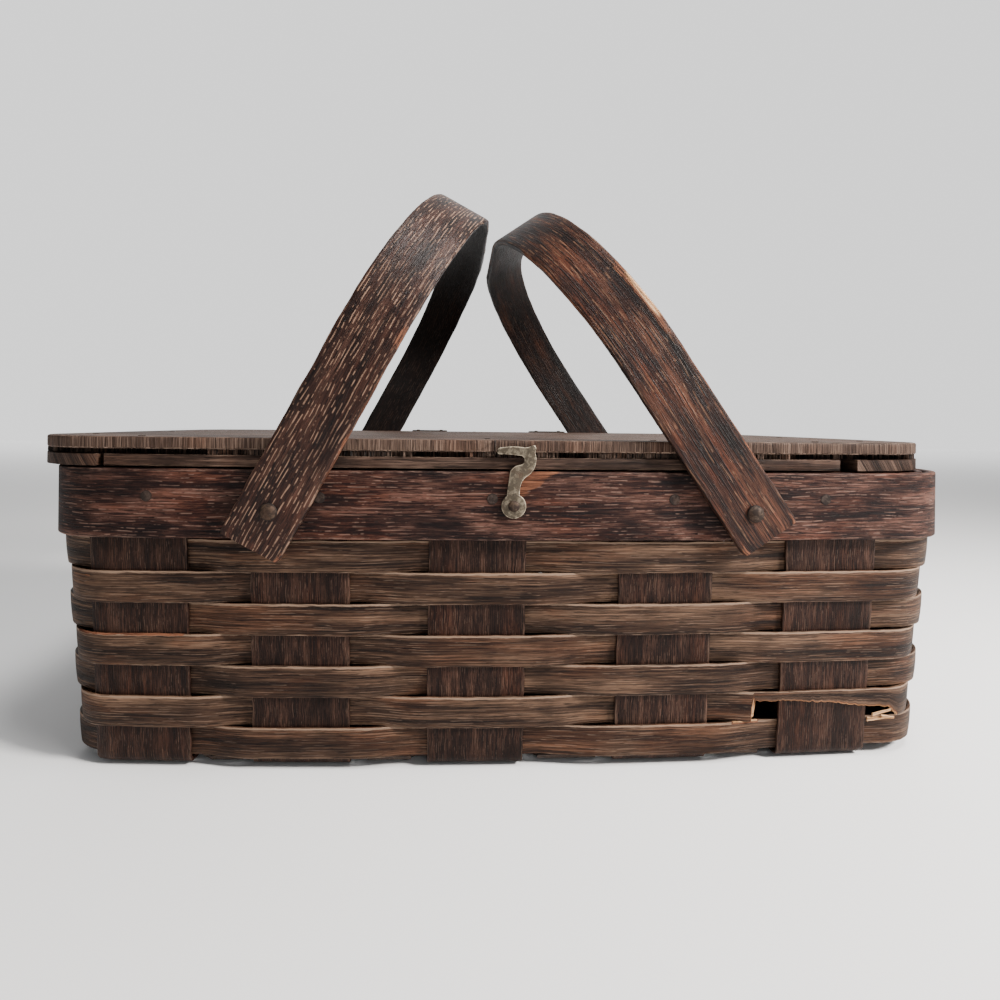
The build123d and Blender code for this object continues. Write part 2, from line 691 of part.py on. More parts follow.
def rim_nails():
    """Nails through both bands: one at each splint's end, their shanks square."""
    nails = []
    blank = frustum(NAIL_HEAD_RADIUS, NAIL_TOP_SHARE, NAIL_SIDES, NAIL_HEAD_PROUD)
    half = NAIL_SHANK_SIDE / 2
    z0, z1 = NAIL_Z - half, NAIL_Z + half
    for x in FRONT_NAIL_X:
        out = RIM.half_depth(x, 0)
        tip = RIM.half_depth(x, RIM_INNER_INSET)
        for end in (-1, 1):
            low, high = sorted((end * out, end * tip))
            head = Pos(x, end * out, NAIL_Z) * Rot(-90 * end, 0, 0) * blank
            nails.append(head + box(x - half, x + half, low, high, z0, z1))
    for y in LONG_SPLINT_Y:
        out = RIM.half_length(y, 0)
        tip = RIM.half_length(y, RIM_INNER_INSET)
        for end in (-1, 1):
            low, high = sorted((end * out, end * tip))
            head = Pos(end * out, y, NAIL_Z) * Rot(0, 90 * end, 0) * blank
            nails.append(head + box(low, high, y - half, y + half, z0, z1))
    return nails


def hinge(centre_x):
    """Small hinge: a leaf up the back of the band, a leaf on the lid, and their pin."""
    x0 = centre_x - HINGE_LENGTH / 2
    x1 = centre_x + HINGE_LENGTH / 2
    y0, y1 = HINGE_FACE_Y, HINGE_FACE_Y + HINGE_LEAF_THICKNESS
    z0, z1 = LID_TOP, LID_TOP + HINGE_LEAF_THICKNESS
    clear = HINGE_KNUCKLE_RADIUS + FACE_GAP
    pitch = HINGE_LENGTH / HINGE_KNUCKLES
    band_leaf = box(x0, x1, y0, y1, RIM_TOP - HINGE_BAND_GRIP, HINGE_Z - clear)
    lid_leaf = box(x0, x1, HINGE_FACE_Y - HINGE_LID_GRIP, HINGE_AXIS_Y - clear, z0, z1)
    for k in range(HINGE_KNUCKLES):
        a = x0 + k * pitch + (FACE_GAP / 2 if k else 0)
        b = x0 + (k + 1) * pitch - (FACE_GAP / 2 if k + 1 < HINGE_KNUCKLES else 0)
        knuckle = extrude(RegularPolygon(HINGE_KNUCKLE_RADIUS, HINGE_KNUCKLE_SIDES), amount=b - a)
        knuckle = Pos(a, HINGE_AXIS_Y, HINGE_Z) * Rot(0, 90, 0) * knuckle
        if k % 2:
            lid_leaf += knuckle + box(a, b, HINGE_AXIS_Y - clear, HINGE_AXIS_Y, z0, z1)
        else:
            band_leaf += knuckle + box(a, b, y0, y1, HINGE_Z - clear, HINGE_Z)
    bore = rod_x(x0 - CUT_MARGIN, x1 + CUT_MARGIN, HINGE_PIN_RADIUS + RUNNING_GAP)
    return band_leaf - bore, lid_leaf - bore, rod_x(x0, x1, HINGE_PIN_RADIUS)


def rod_x(x0, x1, radius):
    """Round rod on the hinges' axis from x0 to x1."""
    rod = Cylinder(radius, x1 - x0, align=(Align.CENTER, Align.CENTER, Align.MIN))
    return Pos(x0, HINGE_AXIS_Y, HINGE_Z) * Rot(0, 90, 0) * rod


def hinge_nail_spots():
    """Places along X of the nails in the hinges' leaves."""
    return [side * HINGE_X + k * HINGE_LENGTH / 3 for side in (-1, 1) for k in (-1, 1)]


def hinge_nail():
    """Nail of the hinges, its head standing on Z and its square shank below."""
    half = HINGE_NAIL_SIDE / 2
    head = frustum(HINGE_NAIL_HEAD_RADIUS, NAIL_TOP_SHARE, NAIL_SIDES, HINGE_NAIL_HEAD_HEIGHT)
    return head + box(-half, half, -half, half, -HINGE_NAIL_LENGTH, 0)


def hinge_band_nails():
    """Nails through the hinges' lower leaves into the band."""
    z = RIM_TOP - HINGE_BAND_GRIP + HINGE_NAIL_INSET
    face = HINGE_FACE_Y + HINGE_LEAF_THICKNESS
    return [Pos(x, face, z) * Rot(-90, 0, 0) * hinge_nail() for x in hinge_nail_spots()]


def hinge_lid_nails():
    """Nails down through the hinges' upper leaves into the lid."""
    y = HINGE_FACE_Y - HINGE_LID_GRIP + HINGE_NAIL_INSET
    return [Pos(x, y, LID_TOP + HINGE_LEAF_THICKNESS) * hinge_nail() for x in hinge_nail_spots()]


def latch_hook():
    """Flat hook cut from plate: an eye on the pin, a shank, and a nose that points left."""
    left = -HOOK_SHANK_WIDTH / 2 - HOOK_SHANK_SHIFT
    right = HOOK_SHANK_WIDTH / 2 - HOOK_SHANK_SHIFT
    here = (left, HOOK_SHANK_LEFT_TOP)
    outline = [Line((left, 0), here)]
    for middle, end in (*HOOK_ARCS, (HOOK_HEEL, (right, HOOK_SHANK_RIGHT_TOP))):
        outline.append(ThreePointArc(here, middle, end))
        here = end
    outline += [Line(here, (right, 0)), Line((right, 0), (left, 0))]
    flat = make_face(Wire(outline)) + Circle(HOOK_BOSS_RADIUS)
    flat -= Circle(HOOK_PIN_RADIUS + RUNNING_GAP)
    plate = extrude(Plane.XZ * flat, amount=HOOK_THICKNESS)
    return Pos(HOOK_X, -(RIM.half_depth(HOOK_X, 0) + FACE_GAP), HOOK_Z) * Rot(0, HOOK_LEAN, 0) * plate


def hook_pin():
    """Round-headed pin that the hook turns on, driven through the rim."""
    under_head = RIM.half_depth(HOOK_X, 0) + 2 * FACE_GAP + HOOK_THICKNESS
    head = dome_y(HOOK_X, HOOK_Z, HOOK_PIN_HEAD_RADIUS, HOOK_PIN_HEAD_HEIGHT, -under_head, -1)
    return head + rod_y(HOOK_X, HOOK_Z, HOOK_PIN_RADIUS, -under_head, HOOK_PIN_LENGTH - under_head)


def eye_staple():
    """Wire staple standing out of the lid's front edge, one leg above the other."""
    radius = (STAPLE_HIGH - STAPLE_LOW) / 2
    edge = -LID.half_depth(STAPLE_X, 0)
    low = RIM_TOP + STAPLE_LOW
    high = RIM_TOP + STAPLE_HIGH
    round_from = edge - STAPLE_REACH + radius
    path = Wire(
        [
            Line((STAPLE_X, edge + STAPLE_LEG, low), (STAPLE_X, round_from, low)),
            ThreePointArc(
                (STAPLE_X, round_from, low),
                (STAPLE_X, round_from - radius, (low + high) / 2),
                (STAPLE_X, round_from, high),
            ),
            Line((STAPLE_X, round_from, high), (STAPLE_X, edge + STAPLE_LEG, high)),
        ]
    )
    start = Plane(origin=path @ 0, z_dir=path % 0)
    return sweep(start * RegularPolygon(STAPLE_WIRE_RADIUS, STAPLE_WIRE_SIDES), path)


def build():
    """Write every node of the basket."""
    save("outer_rim_band", rivet_holes(band(BAND_HEIGHT, 0, BAND_THICKNESS, OUTER_SCARF_X)))
    inner = band(INNER_BAND_HEIGHT, INNER_BAND_INSET, INNER_BAND_THICKNESS, INNER_SCARF_X)
    save("inner_rim_band", rivet_holes(inner))
    for number, x in enumerate(CROSS_SPLINT_X, 1):
        save(f"cross_splint_{number}", rivet_holes(cross_splint(x)))
    for number, (x, width) in enumerate(cross_strips()[1::2], 1):
        y = RIM.half_depth(x, wall_inset(0)) - SPLINT_BEND_RADIUS
        filler = box(x - width / 2, x + width / 2, -y, y, BASE_STEP, BASE_STEP + SPLINT_THICKNESS)
        save(f"cross_filler_{number}", filler)
    for number, y in enumerate(LONG_SPLINT_Y, 1):
        save(f"long_splint_{number}", long_splint(y, 1))
    filler_width = LONG_SPLINT_PITCH - SPLINT_WIDTH - 2 * LONG_FILLER_GAP
    edge_y = LONG_SPLINT_Y[-1] + SPLINT_WIDTH / 2 + LONG_FILLER_GAP + EDGE_FILLER_WIDTH / 2
    edge_reach = RIM.half_length(edge_y, wall_inset(0)) - EDGE_FILLER_END
    reach = RIM.half_length(LONG_SPLINT_PITCH / 2, wall_inset(0)) - SPLINT_BEND_RADIUS
    save("long_filler_1", long_filler(-edge_y, EDGE_FILLER_WIDTH, edge_reach, 0))
    save("long_filler_2", long_filler(-LONG_SPLINT_PITCH / 2, filler_width, reach, 0))
    save("long_filler_3", long_filler(LONG_SPLINT_PITCH / 2, filler_width, reach, 0))
    save("long_filler_4", long_filler(edge_y, EDGE_FILLER_WIDTH, edge_reach, 0))
    for row in range(1, WEAVER_ROWS + 1):
        save(f"weaver_row_{row}", weaver(row))
    save("rim_nails", *rim_nails())

    save("lid_board", lid_board())
    save("lid_core", lid_core())
    for node, piece in lid_frame().items():
        save(node, piece)
    save("lid_brads", *lid_brads())
    save("eye_staple", eye_staple())

    for name, side, lean, tail in (
        ("left", -1, LEFT_BOW_LEAN, LEFT_BOW_TAIL),
        ("right", 1, RIGHT_BOW_LEAN, RIGHT_BOW_TAIL),
    ):
        save(f"{name}_bow", bow(side, lean, tail))
        save(f"front_{name}_rivet", rivet(side, -1))
        save(f"back_{name}_rivet", rivet(side, 1))
        lower, upper, pin = hinge(side * HINGE_X)
        save(f"{name}_hinge_lower_leaf", lower)
        save(f"{name}_hinge_upper_leaf", upper)
        save(f"{name}_hinge_pin", pin)
    save("hinge_band_nails", *hinge_band_nails())
    save("hinge_lid_nails", *hinge_lid_nails())
    save("latch_hook", latch_hook())
    save("hook_pin", hook_pin())


build()
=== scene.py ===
"""Splint picnic basket: its worn oak, its weave, its bentwood and its old iron."""

from __future__ import annotations

import logging
import math
from dataclasses import dataclass, field
from enum import Enum
from typing import Callable, Sequence

import bmesh
import bpy
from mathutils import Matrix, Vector, noise


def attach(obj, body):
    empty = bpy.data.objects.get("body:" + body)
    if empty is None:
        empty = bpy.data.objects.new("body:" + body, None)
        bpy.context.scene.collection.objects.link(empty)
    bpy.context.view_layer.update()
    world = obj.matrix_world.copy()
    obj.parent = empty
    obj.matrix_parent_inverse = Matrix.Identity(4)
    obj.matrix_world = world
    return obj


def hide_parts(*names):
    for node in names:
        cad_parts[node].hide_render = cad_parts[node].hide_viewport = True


log = logging.getLogger("basket")

Material = bpy.types.Material
Piece = bpy.types.Object
Socket = bpy.types.NodeSocket
Colour = tuple[float, float, float]
Spot = tuple[float, float, float]

# Metres to a millimetre, heights in millimetres, and how close two places count as one
MM = 0.001
BAND_FOOT = 113.5
RIM_TOP = 146.5
LID_TOP = 161.3
NEAR = 1e-4


# Shader writing


class Value:
    """A number in a material: a socket whose arithmetic adds Math nodes."""

    def __init__(self, finish: Finish, socket: Socket) -> None:
        """Keep the socket and the finish that it belongs to."""
        self.finish = finish
        self.socket = socket

    def _math(self, operation: str, *others: Value | float, swap: bool = False) -> Value:
        """Add one Math node.

        Args:
            operation: Name of the Math node's operation.
            others: The other operands.
            swap: Whether the first other operand comes before this one.

        Returns:
            The node's result.
        """
        values = [self, *others]
        if swap:
            values[0], values[1] = values[1], values[0]
        made = self.finish.node("ShaderNodeMath", {"operation": operation}, dict(enumerate(values)))
        return Value(self.finish, made.outputs[0])

    def __add__(self, other: Value | float) -> Value:
        """Sum."""
        return self._math("ADD", other)

    __radd__ = __add__

    def __sub__(self, other: Value | float) -> Value:
        """Difference."""
        return self._math("SUBTRACT", other)

    def __rsub__(self, other: Value | float) -> Value:
        """Difference, from the other."""
        return self._math("SUBTRACT", other, swap=True)

    def __mul__(self, other: Value | float) -> Value:
        """Product."""
        return self._math("MULTIPLY", other)

    __rmul__ = __mul__

    def __truediv__(self, other: Value | float) -> Value:
        """Quotient."""
        return self._math("DIVIDE", other)

    def below(self, other: Value | float) -> Value:
        """Smaller of the two."""
        return self._math("MINIMUM", other)

    def above(self, other: Value | float) -> Value:
        """Larger of the two."""
        return self._math("MAXIMUM", other)

    def size(self) -> Value:
        """Absolute value."""
        return self._math("ABSOLUTE")

    def floor(self) -> Value:
        """Largest whole number not above it."""
        return self._math("FLOOR")

    def rise(self, low: float, high: float) -> Value:
        """Smooth step.

        Args:
            low: Where it leaves 0.
            high: Where it reaches 1.

        Returns:
            The step.
        """
        inputs = {0: self, 1: low, 2: high, 3: 0.0, 4: 1.0}
        made = self.finish.node("ShaderNodeMapRange", {"interpolation_type": "SMOOTHSTEP"}, inputs)
        return Value(self.finish, made.outputs[0])


class Finish:
    """A procedural material, written with short calls."""

    def __init__(self, name: str) -> None:
        """Start an empty material.

        Args:
            name: The material's name.
        """
        self.material = bpy.data.materials.new(name)
        self.material.use_nodes = True
        self.tree = self.material.node_tree
        self.tree.nodes.clear()
        self.shader = self.tree.nodes.new("ShaderNodeBsdfPrincipled")
        out = self.tree.nodes.new("ShaderNodeOutputMaterial")
        self.tree.links.new(self.shader.outputs[0], out.inputs[0])

    def node(self, kind: str, settings: dict, inputs: dict) -> bpy.types.Node:
        """Add a node.

        Args:
            kind: The node's type.
            settings: Its properties, or "stops" for a ramp's positions and colours.
            inputs: What each socket gets, by index or name: a Value, a socket or a constant.

        Returns:
            The node.
        """
        made = self.tree.nodes.new(kind)
        for key, setting in settings.items():
            if key == "stops":
                stops = made.color_ramp.elements
                while len(stops) < len(setting):
                    stops.new(0.5)
                for stop, (place, colour) in zip(stops, setting):
                    stop.position = place
                    stop.color = (*colour, 1.0)
            else:
                setattr(made, key, setting)
        for key, given in inputs.items():
            self.feed(made.inputs[key], given)
        return made

    def feed(self, socket: Socket, given: object) -> None:
        """Give a socket a link or a constant.

        Args:
            socket: The socket.
            given: A Value, a socket, a number, a colour or a vector.
        """
        if isinstance(given, Value):
            given = given.socket
        if isinstance(given, Socket):
            self.tree.links.new(given, socket)
        elif isinstance(given, tuple) and socket.type == "RGBA":
            socket.default_value = (*given, 1.0)
        else:
            socket.default_value = given

    def place(self, scale: Spot, shift: Spot = (0, 0, 0), uv: str = "") -> Socket:
        """Pattern coordinates.

        Args:
            scale: How many units of pattern there are to a metre, along each axis.
            shift: Where the pattern starts.
            uv: Name of the UV map, or nothing for Object coordinates.

        Returns:
            The socket with the coordinates.
        """
        if uv:
            source = self.node("ShaderNodeUVMap", {"uv_map": uv}, {}).outputs[0]
        else:
            source = self.node("ShaderNodeTexCoord", {}, {}).outputs["Object"]
        inputs = {0: source, 1: shift, 3: scale}
        return self.node("ShaderNodeMapping", {"vector_type": "POINT"}, inputs).outputs[0]

    def noise(
        self, at: Socket, detail: float = 3.0, rough: float = 0.5, warp: float = 0.0
    ) -> Value:
        """Fractal noise from 0 to 1 at the given coordinates, one unit to a feature."""
        inputs = {"Vector": at, "Scale": 1.0, "Detail": detail, "Roughness": rough, "Distortion": warp}
        return Value(self, self.node("ShaderNodeTexNoise", {}, inputs).outputs[0])

    def streaks(
        self, along: float, thin: float, start: tuple[float, float], detail: float, rough: float = 0.5,
        warp: float = 0.0,
    ) -> Value:
        """Noise that is drawn out along the grain.

        Args:
            along: Features to a metre along the grain.
            thin: Features to a metre across it.
            start: Where the pattern starts, which sets two patterns apart.
            detail: Number of finer layers.
            rough: Weight of the finer layers.
            warp: How much the pattern wanders.

        Returns:
            The noise, from 0 to 1.
        """
        return self.noise(self.place((along, thin, 1), (*start, 0), "grain"), detail, rough, warp)

    def uv(self, name: str) -> tuple[Value, Value]:
        """Read a UV map.

        Args:
            name: The map's name.

        Returns:
            Its two coordinates.
        """
        source = self.node("ShaderNodeUVMap", {"uv_map": name}, {}).outputs[0]
        split = self.node("ShaderNodeSeparateXYZ", {}, {0: source})
        return Value(self, split.outputs[0]), Value(self, split.outputs[1])

    def xyz(self) -> tuple[Value, Value, Value]:
        """Read the Object coordinates.

        Returns:
            The three coordinates.
        """
        source = self.node("ShaderNodeTexCoord", {}, {}).outputs["Object"]
        split = self.node("ShaderNodeSeparateXYZ", {}, {0: source})
        return tuple(Value(self, s) for s in split.outputs)

    def ramp(self, by: Value, *stops: tuple[float, Colour]) -> Socket:
        """Colour read off a ramp."""
        return self.node("ShaderNodeValToRGB", {"stops": stops}, {0: by}).outputs[0]

    def mix(self, by: Value | float, a: object, b: object, kind: str = "MIX") -> Socket:
        """Blend of two colours.

        Args:
            by: Share of the second.
            a: First colour.
            b: Second colour.
            kind: Blend type.

        Returns:
            The socket with the colour.
        """
        settings = {"data_type": "RGBA", "blend_type": kind}
        return self.node("ShaderNodeMix", settings, {0: by, 6: a, 7: b}).outputs[2]

    def bump(self, height: Value, depth: float) -> None:
        """Raise the surface.

        Args:
            height: Height from 0 to 1.
            depth: Metres from lowest to highest.
        """
        inputs = {"Strength": 1.0, "Distance": depth, "Height": height}
        made = self.node("ShaderNodeBump", {}, inputs)
        self.feed(self.shader.inputs["Normal"], made.outputs[0])

    def set(self, **inputs: object) -> None:
        """Set the shader's sockets; an underscore stands for a space."""
        for name, given in inputs.items():
            self.feed(self.shader.inputs[name.replace("_", " ")], given)


class Use(Enum):
    """How a strip of wood was used, which decides its wear."""

    WEAVER = "weaver"
    UPRIGHT = "upright"
    RIM = "rim"
    LEFT_BOW = "left_bow"
    RIGHT_BOW = "right_bow"
    LID_TOP = "lid_top"
    LID_CORE = "lid_core"
    LID_FRAME = "lid_frame"


@dataclass(frozen=True)
class Rows:
    """Broken rows of short lines along the grain."""

    pitch: float
    length: float
    level: float

    def draw(self, f: Finish, seed: float) -> Value:
        """Draw the lines, which lie as open pores and cracks do.

        Args:
            f: The finish in the making.
            seed: Sets two sets of rows apart.

        Returns:
            1 on a line, 0 beside it.
        """
        x, y = f.uv("grain")
        drift = f.streaks(12, 45, (seed, seed), 4.0, 0.6)
        spaced = y / self.pitch + drift * 4.0
        row = spaced.floor()
        off = (spaced - row - 0.5).size()
        spot = f.node("ShaderNodeCombineXYZ", {}, {0: x / (self.length * 2.0) + seed, 1: row * 7.31, 2: 0.0})
        broken = f.noise(spot.outputs[0], 3.0, 0.6)
        return off.rise(0.20, 0.08) * broken.rise(self.level, self.level + 0.08)


@dataclass(frozen=True)
class OakFinish:
    """Stained, dirty, dried-out oak; patterns follow the strip's own length.

    The UV map "grain" holds metres along and across the grain, "across" the place through and
    across the strip from 0 to 1, and "wear" how fresh a break is and how much an edge is rubbed;
    on the weavers' upper edges this lightening is rubbed wear and painted highlight together.
    The first four colours go from the deepest grain to rubbed edges. The varnish warms patches,
    and chipped and torn are the dark and light streaks of wood laid bare by a chip or a tear.
    """

    use: Use
    dark: Colour
    middle: Colour
    light: Colour
    worn: Colour
    streak_length: float = 0.045
    streak_width: float = 0.0009
    spread: float = 1.0
    fibre: float = 0.3
    dashes: float = 0.0
    dash: Rows = Rows(0.0018, 0.0036, 0.47)
    hairs: float = 0.5
    hair: Rows = Rows(0.0015, 0.030, 0.50)
    mottle: float = 1.0
    warm: float = 0.5
    grime: float = 0.6
    edge_wear: float = 0.5
    side_wear: float = 0.0
    # How strongly a bow's inner face is darkened as painted shade
    inner_shade: float = 0.0
    gloss: float = 0.6
    shine: float = 0.12
    relief: float = 0.00025
    varnish: Colour = (1.0, 0.62, 0.42)
    chipped: tuple[Colour, Colour] = ((0.050, 0.018, 0.010), (0.18, 0.072, 0.038))
    torn: tuple[Colour, Colour] = ((0.32, 0.15, 0.06), (0.62, 0.38, 0.21))

    def make(self) -> Material:
        """Write the material.

        Returns:
            The material.
        """
        f = Finish(self.use.value + "_oak")
        along = 1.0 / self.streak_length
        thin = 1.0 / self.streak_width
        grain = f.streaks(along, thin, (0, 0), 6.0, 0.72, 0.15)
        fine = f.streaks(along * 2.3, thin * 3.3, (7, 3), 4.0, 0.72)
        broad = f.streaks(along * 0.45, thin * 0.17, (3, 9), 3.0, 0.5, 0.3)
        blotch = f.streaks(24, 60, (1, 5), 4.0, 0.6, 0.4)
        glow = f.streaks(17, 45, (6, 2), 3.0, 0.5, 0.5).rise(0.46, 0.66)
        slits = f.streaks(along * 4, thin * 1.6, (11, 2), 2.0, 0.7).rise(0.57, 0.66)
        chips = f.streaks(90, 300, (5, 8), 4.0, 0.7)
        cracks = self.hair.draw(f, 5.0)
        through, across = f.uv("across")
        fresh, rubbed = f.uv("wear")
        # Base tone, then stain, grime and open pores
        tone = grain * (0.65 - self.fibre) + fine * self.fibre
        tone = tone + broad * (0.35 * self.mottle) + (0.175 - 0.175 * self.mottle)
        reach = 0.075 * self.spread
        black = tuple(c * 0.3 for c in self.dark)
        colour = f.ramp(
            tone,
            (0.5 - reach * 1.25, self.dark),
            (0.5 - reach * 0.1, self.middle),
            (0.5 + reach * 0.9, self.light),
            (0.5 + reach * 2.3, tuple(min(0.8, c * 1.9) for c in self.light)),
        )
        colour = f.mix(glow * self.warm, colour, self.varnish, "MULTIPLY")
        colour = f.mix(blotch.rise(0.46, 0.70) * self.grime, colour, self.dark)
        colour = f.mix(slits * 0.7, colour, black)
        # Pale scuffs along the grain and worn edges; the weavers' upper edges are lightened further, as
        # rubbed wear and as painted highlight
        if self.dashes:
            marks = self.dash.draw(f, 2.0) * blotch.rise(0.72, 0.44)
            colour = f.mix(marks * self.dashes, colour, self.worn)
        edge = ((through - 0.5).size() * 2.0).above(self.side_wear).below((across - 0.5).size() * 2.0)
        rub = (edge + (chips - 0.5) * 0.35 + rubbed * 0.5).rise(0.93, 1.04) * self.edge_wear
        colour = f.mix(rub, colour, self.worn)
        # Painted shade: a bow's inner face is darkened towards black
        if self.inner_shade:
            colour = f.mix(through.rise(0.6, 0.2) * self.inner_shade, colour, black)
        # Bare wood where a chip came off or a splint tore, and cracks over everything
        bare = (fresh + (chips - 0.5) * 1.1 + (grain - 0.5) * 0.8).rise(0.42, 0.60)
        veins = grain.rise(0.42, 0.60)
        raw = f.mix(fresh.rise(0.72, 0.95), f.mix(veins, *self.chipped), f.mix(veins, *self.torn))
        colour = f.mix(bare, colour, raw)
        colour = f.mix(cracks * self.hairs, colour, black)
        height = grain * 0.45 - cracks * 0.3 + fine * 0.35 - slits * 0.5 + chips * 0.15 - bare * 0.3
        f.bump(height, self.relief)
        rough = (grain - 0.5) * 0.5 + blotch * 0.2 + bare * 0.2 + (self.gloss - 0.1)
        f.set(Base_Color=colour, Roughness=rough.below(0.95).above(0.25))
        f.shader.inputs["Specular IOR Level"].default_value = self.shine
        return f.material


@dataclass(frozen=True)
class GrainFinish:
    """Plain oak for hidden pieces, its grain along one of the object's axes."""

    name: str
    axis: int
    dark: Colour
    light: Colour
    along: float = 11.0
    across: float = 700.0

    def make(self) -> Material:
        """Write the material.

        Returns:
            The material.
        """
        f = Finish(self.name)
        scale = [self.across] * 3
        scale[self.axis] = self.along
        grain = f.noise(f.place(tuple(scale)), 4.0, 0.6, 0.2)
        broad = f.noise(f.place(tuple(s * 0.15 for s in scale), (4, 1, 2)), 3.0)
        colour = f.ramp(grain * 0.6 + broad * 0.4, (0.36, self.dark), (0.66, self.light))
        f.bump(grain, 0.0002)
        f.set(Base_Color=colour, Roughness=grain * 0.3 + 0.62)
        return f.material


@dataclass(frozen=True)
class IronFinish:
    """Dull old metal with a dark skin and rubbed high spots.

    On turned pieces the UV map "grain" holds the radius, and past the ring the metal is darker.
    """

    name: str
    dark: Colour
    bright: Colour
    rubbed: float = 0.8
    scale: float = 420.0
    ring: float = 1.0
    metal: float = 0.35
    shine: float = 0.25
    rust: Colour = (0.055, 0.028, 0.016)
    outer_tone: Colour = (0.003, 0.002, 0.0015)

    def make(self) -> Material:
        """Write the material.

        Returns:
            The material.
        """
        f = Finish(self.name)
        skin = f.noise(f.place((self.scale,) * 3), 5.0, 0.65, 0.3)
        pits = f.noise(f.place((self.scale * 3.5,) * 3, (3, 1, 6)), 3.0, 0.7)
        rust = f.noise(f.place((self.scale * 0.4,) * 3, (8, 2, 4)), 3.0).rise(0.52, 0.66)
        radius, _ = f.uv("grain")
        edge, _ = f.uv("wear")
        marks = skin.rise(0.42, 0.66)
        colour = f.mix(marks * self.rubbed, self.dark, self.bright)
        colour = f.mix(rust * 0.5, colour, self.rust)
        light = tuple(min(0.8, c * 2.2) for c in self.bright)
        colour = f.mix(edge * skin.rise(0.35, 0.55) * 0.8, colour, light)
        colour = f.mix(pits.rise(0.56, 0.66) * 0.6, colour, tuple(c * 0.3 for c in self.dark))
        # Darker past the ring: the outer edge of each turned head and its collars
        colour = f.mix(radius.rise(self.ring * 0.74, self.ring * 0.9) * 0.9, colour, self.outer_tone)
        f.bump(skin * 0.6 + pits * 0.4, 0.0002)
        rough = marks * -0.18 + (0.84 - self.metal * 0.6)
        f.set(Base_Color=colour, Roughness=rough, Metallic=marks * (self.metal * 1.4) + self.metal)
        f.shader.inputs["Specular IOR Level"].default_value = self.shine
        return f.material


# Shapes, worked out in millimetres


@dataclass(frozen=True)
class Plan:
    """Outline from above: bowed sides and corner arcs, all tangent, read by the normal's angle."""

    length: float
    depth: float
    corner: float
    long_bow: float = 6.5
    end_bow: float = 2.5
    shift: float = 0.0

    def arcs(self) -> tuple[float, ...]:
        """Work out the arcs of one quarter of the outline.

        Returns:
            Radii of the long side and of the end, y and x of their centres, x and y of the
            corner's centre, and the normal angles where the corner starts and ends.
        """
        long_r = ((self.length / 2 - self.corner) ** 2 + self.long_bow**2) / (2 * self.long_bow)
        end_r = ((self.depth / 2 - self.corner) ** 2 + self.end_bow**2) / (2 * self.end_bow)
        long_y = self.depth / 2 - long_r
        end_x = self.length / 2 - end_r
        span = math.hypot(end_x, long_y)
        reach = (long_r - self.corner) ** 2
        along = (reach - (end_r - self.corner) ** 2 + span**2) / (2 * span)
        aside = math.sqrt(reach - along**2)
        ux, uy = end_x / span, -long_y / span
        cx = along * ux + aside * uy
        cy = long_y + along * uy - aside * ux
        return long_r, end_r, long_y, end_x, cx, cy, math.atan2(cy, cx - end_x), math.atan2(cy - long_y, cx)

    def point(self, angle: float, inset: float) -> tuple[float, float]:
        """Find a point of the outline by its normal.

        Args:
            angle: Angle of the outward normal.
            inset: How far the point is moved in.

        Returns:
            Its x and y.
        """
        long_r, end_r, long_y, end_x, cx, cy, end_angle, long_angle = ARCS[self]
        c, s = math.cos(angle), math.sin(angle)
        quadrant = math.atan2(abs(s), abs(c))
        if quadrant < end_angle:
            x, y, r = end_x, 0.0, end_r
        elif quadrant < long_angle:
            x, y, r = cx, cy, self.corner
        else:
            x, y, r = 0.0, long_y, long_r
        x += (r - inset) * abs(c)
        y += (r - inset) * abs(s)
        return math.copysign(x, c) + self.shift, math.copysign(y, s)

    def angle_at_x(self, x: float, inset: float) -> float:
        """Find a point of the back wall.

        Args:
            x: The point's x.
            inset: Inset of the line that it lies on.

        Returns:
            Angle of its outward normal.
        """
        long_r, _, _, _, cx, _, _, long_angle = ARCS[self]
        x -= self.shift
        if abs(x) <= (long_r - inset) * math.cos(long_angle):
            quadrant = math.acos(abs(x) / (long_r - inset))
        else:
            quadrant = math.acos(min(1.0, (abs(x) - cx) / (self.corner - inset)))
        return quadrant if x >= 0 else math.pi - quadrant

    def angle_at_y(self, y: float, inset: float) -> float:
        """Find a point of the right wall.

        Args:
            y: The point's y.
            inset: Inset of the line that it lies on.

        Returns:
            Angle of its outward normal.
        """
        _, end_r, _, _, _, cy, end_angle, _ = ARCS[self]
        if abs(y) <= (end_r - inset) * math.sin(end_angle):
            quadrant = math.asin(abs(y) / (end_r - inset))
        else:
            quadrant = math.asin(min(1.0, (abs(y) - cy) / (self.corner - inset)))
        return math.copysign(quadrant, y)

    def half_depth(self, x: float, inset: float) -> float:
        """Distance from the X axis to the long wall at this x."""
        return self.point(self.angle_at_x(x, inset), inset)[1]

    def half_length(self, y: float, inset: float) -> float:
        """Distance from the middle to the end wall at this y."""
        return self.point(self.angle_at_y(y, inset), inset)[0] - self.shift

    def walk(self, start: float, inset: float, step: float = 0.5) -> list[tuple[float, float]]:
        """Distance walked and normal angle, once round from a starting angle.

        Args:
            start: Normal angle where the walk starts.
            inset: Inset of the line that is walked.
            step: Rough distance between two entries on the sides.

        Returns:
            Pairs of distance and angle.
        """
        count = 24000
        pairs = [(0.0, start)]
        before = self.point(start, inset)
        gone = 0.0
        for k in range(1, count + 1):
            angle = start + 2 * math.pi * k / count
            here = self.point(angle, inset)
            gone += math.dist(before, here)
            before = here
            if gone - pairs[-1][0] >= step or k == count:
                pairs.append((gone, angle))
        return pairs


RIM = Plan(466.0, 280.0, 40.0)
LID = Plan(466.0, 277.0, 43.0, shift=-8.0)
ARCS = {plan: plan.arcs() for plan in (RIM, LID)}


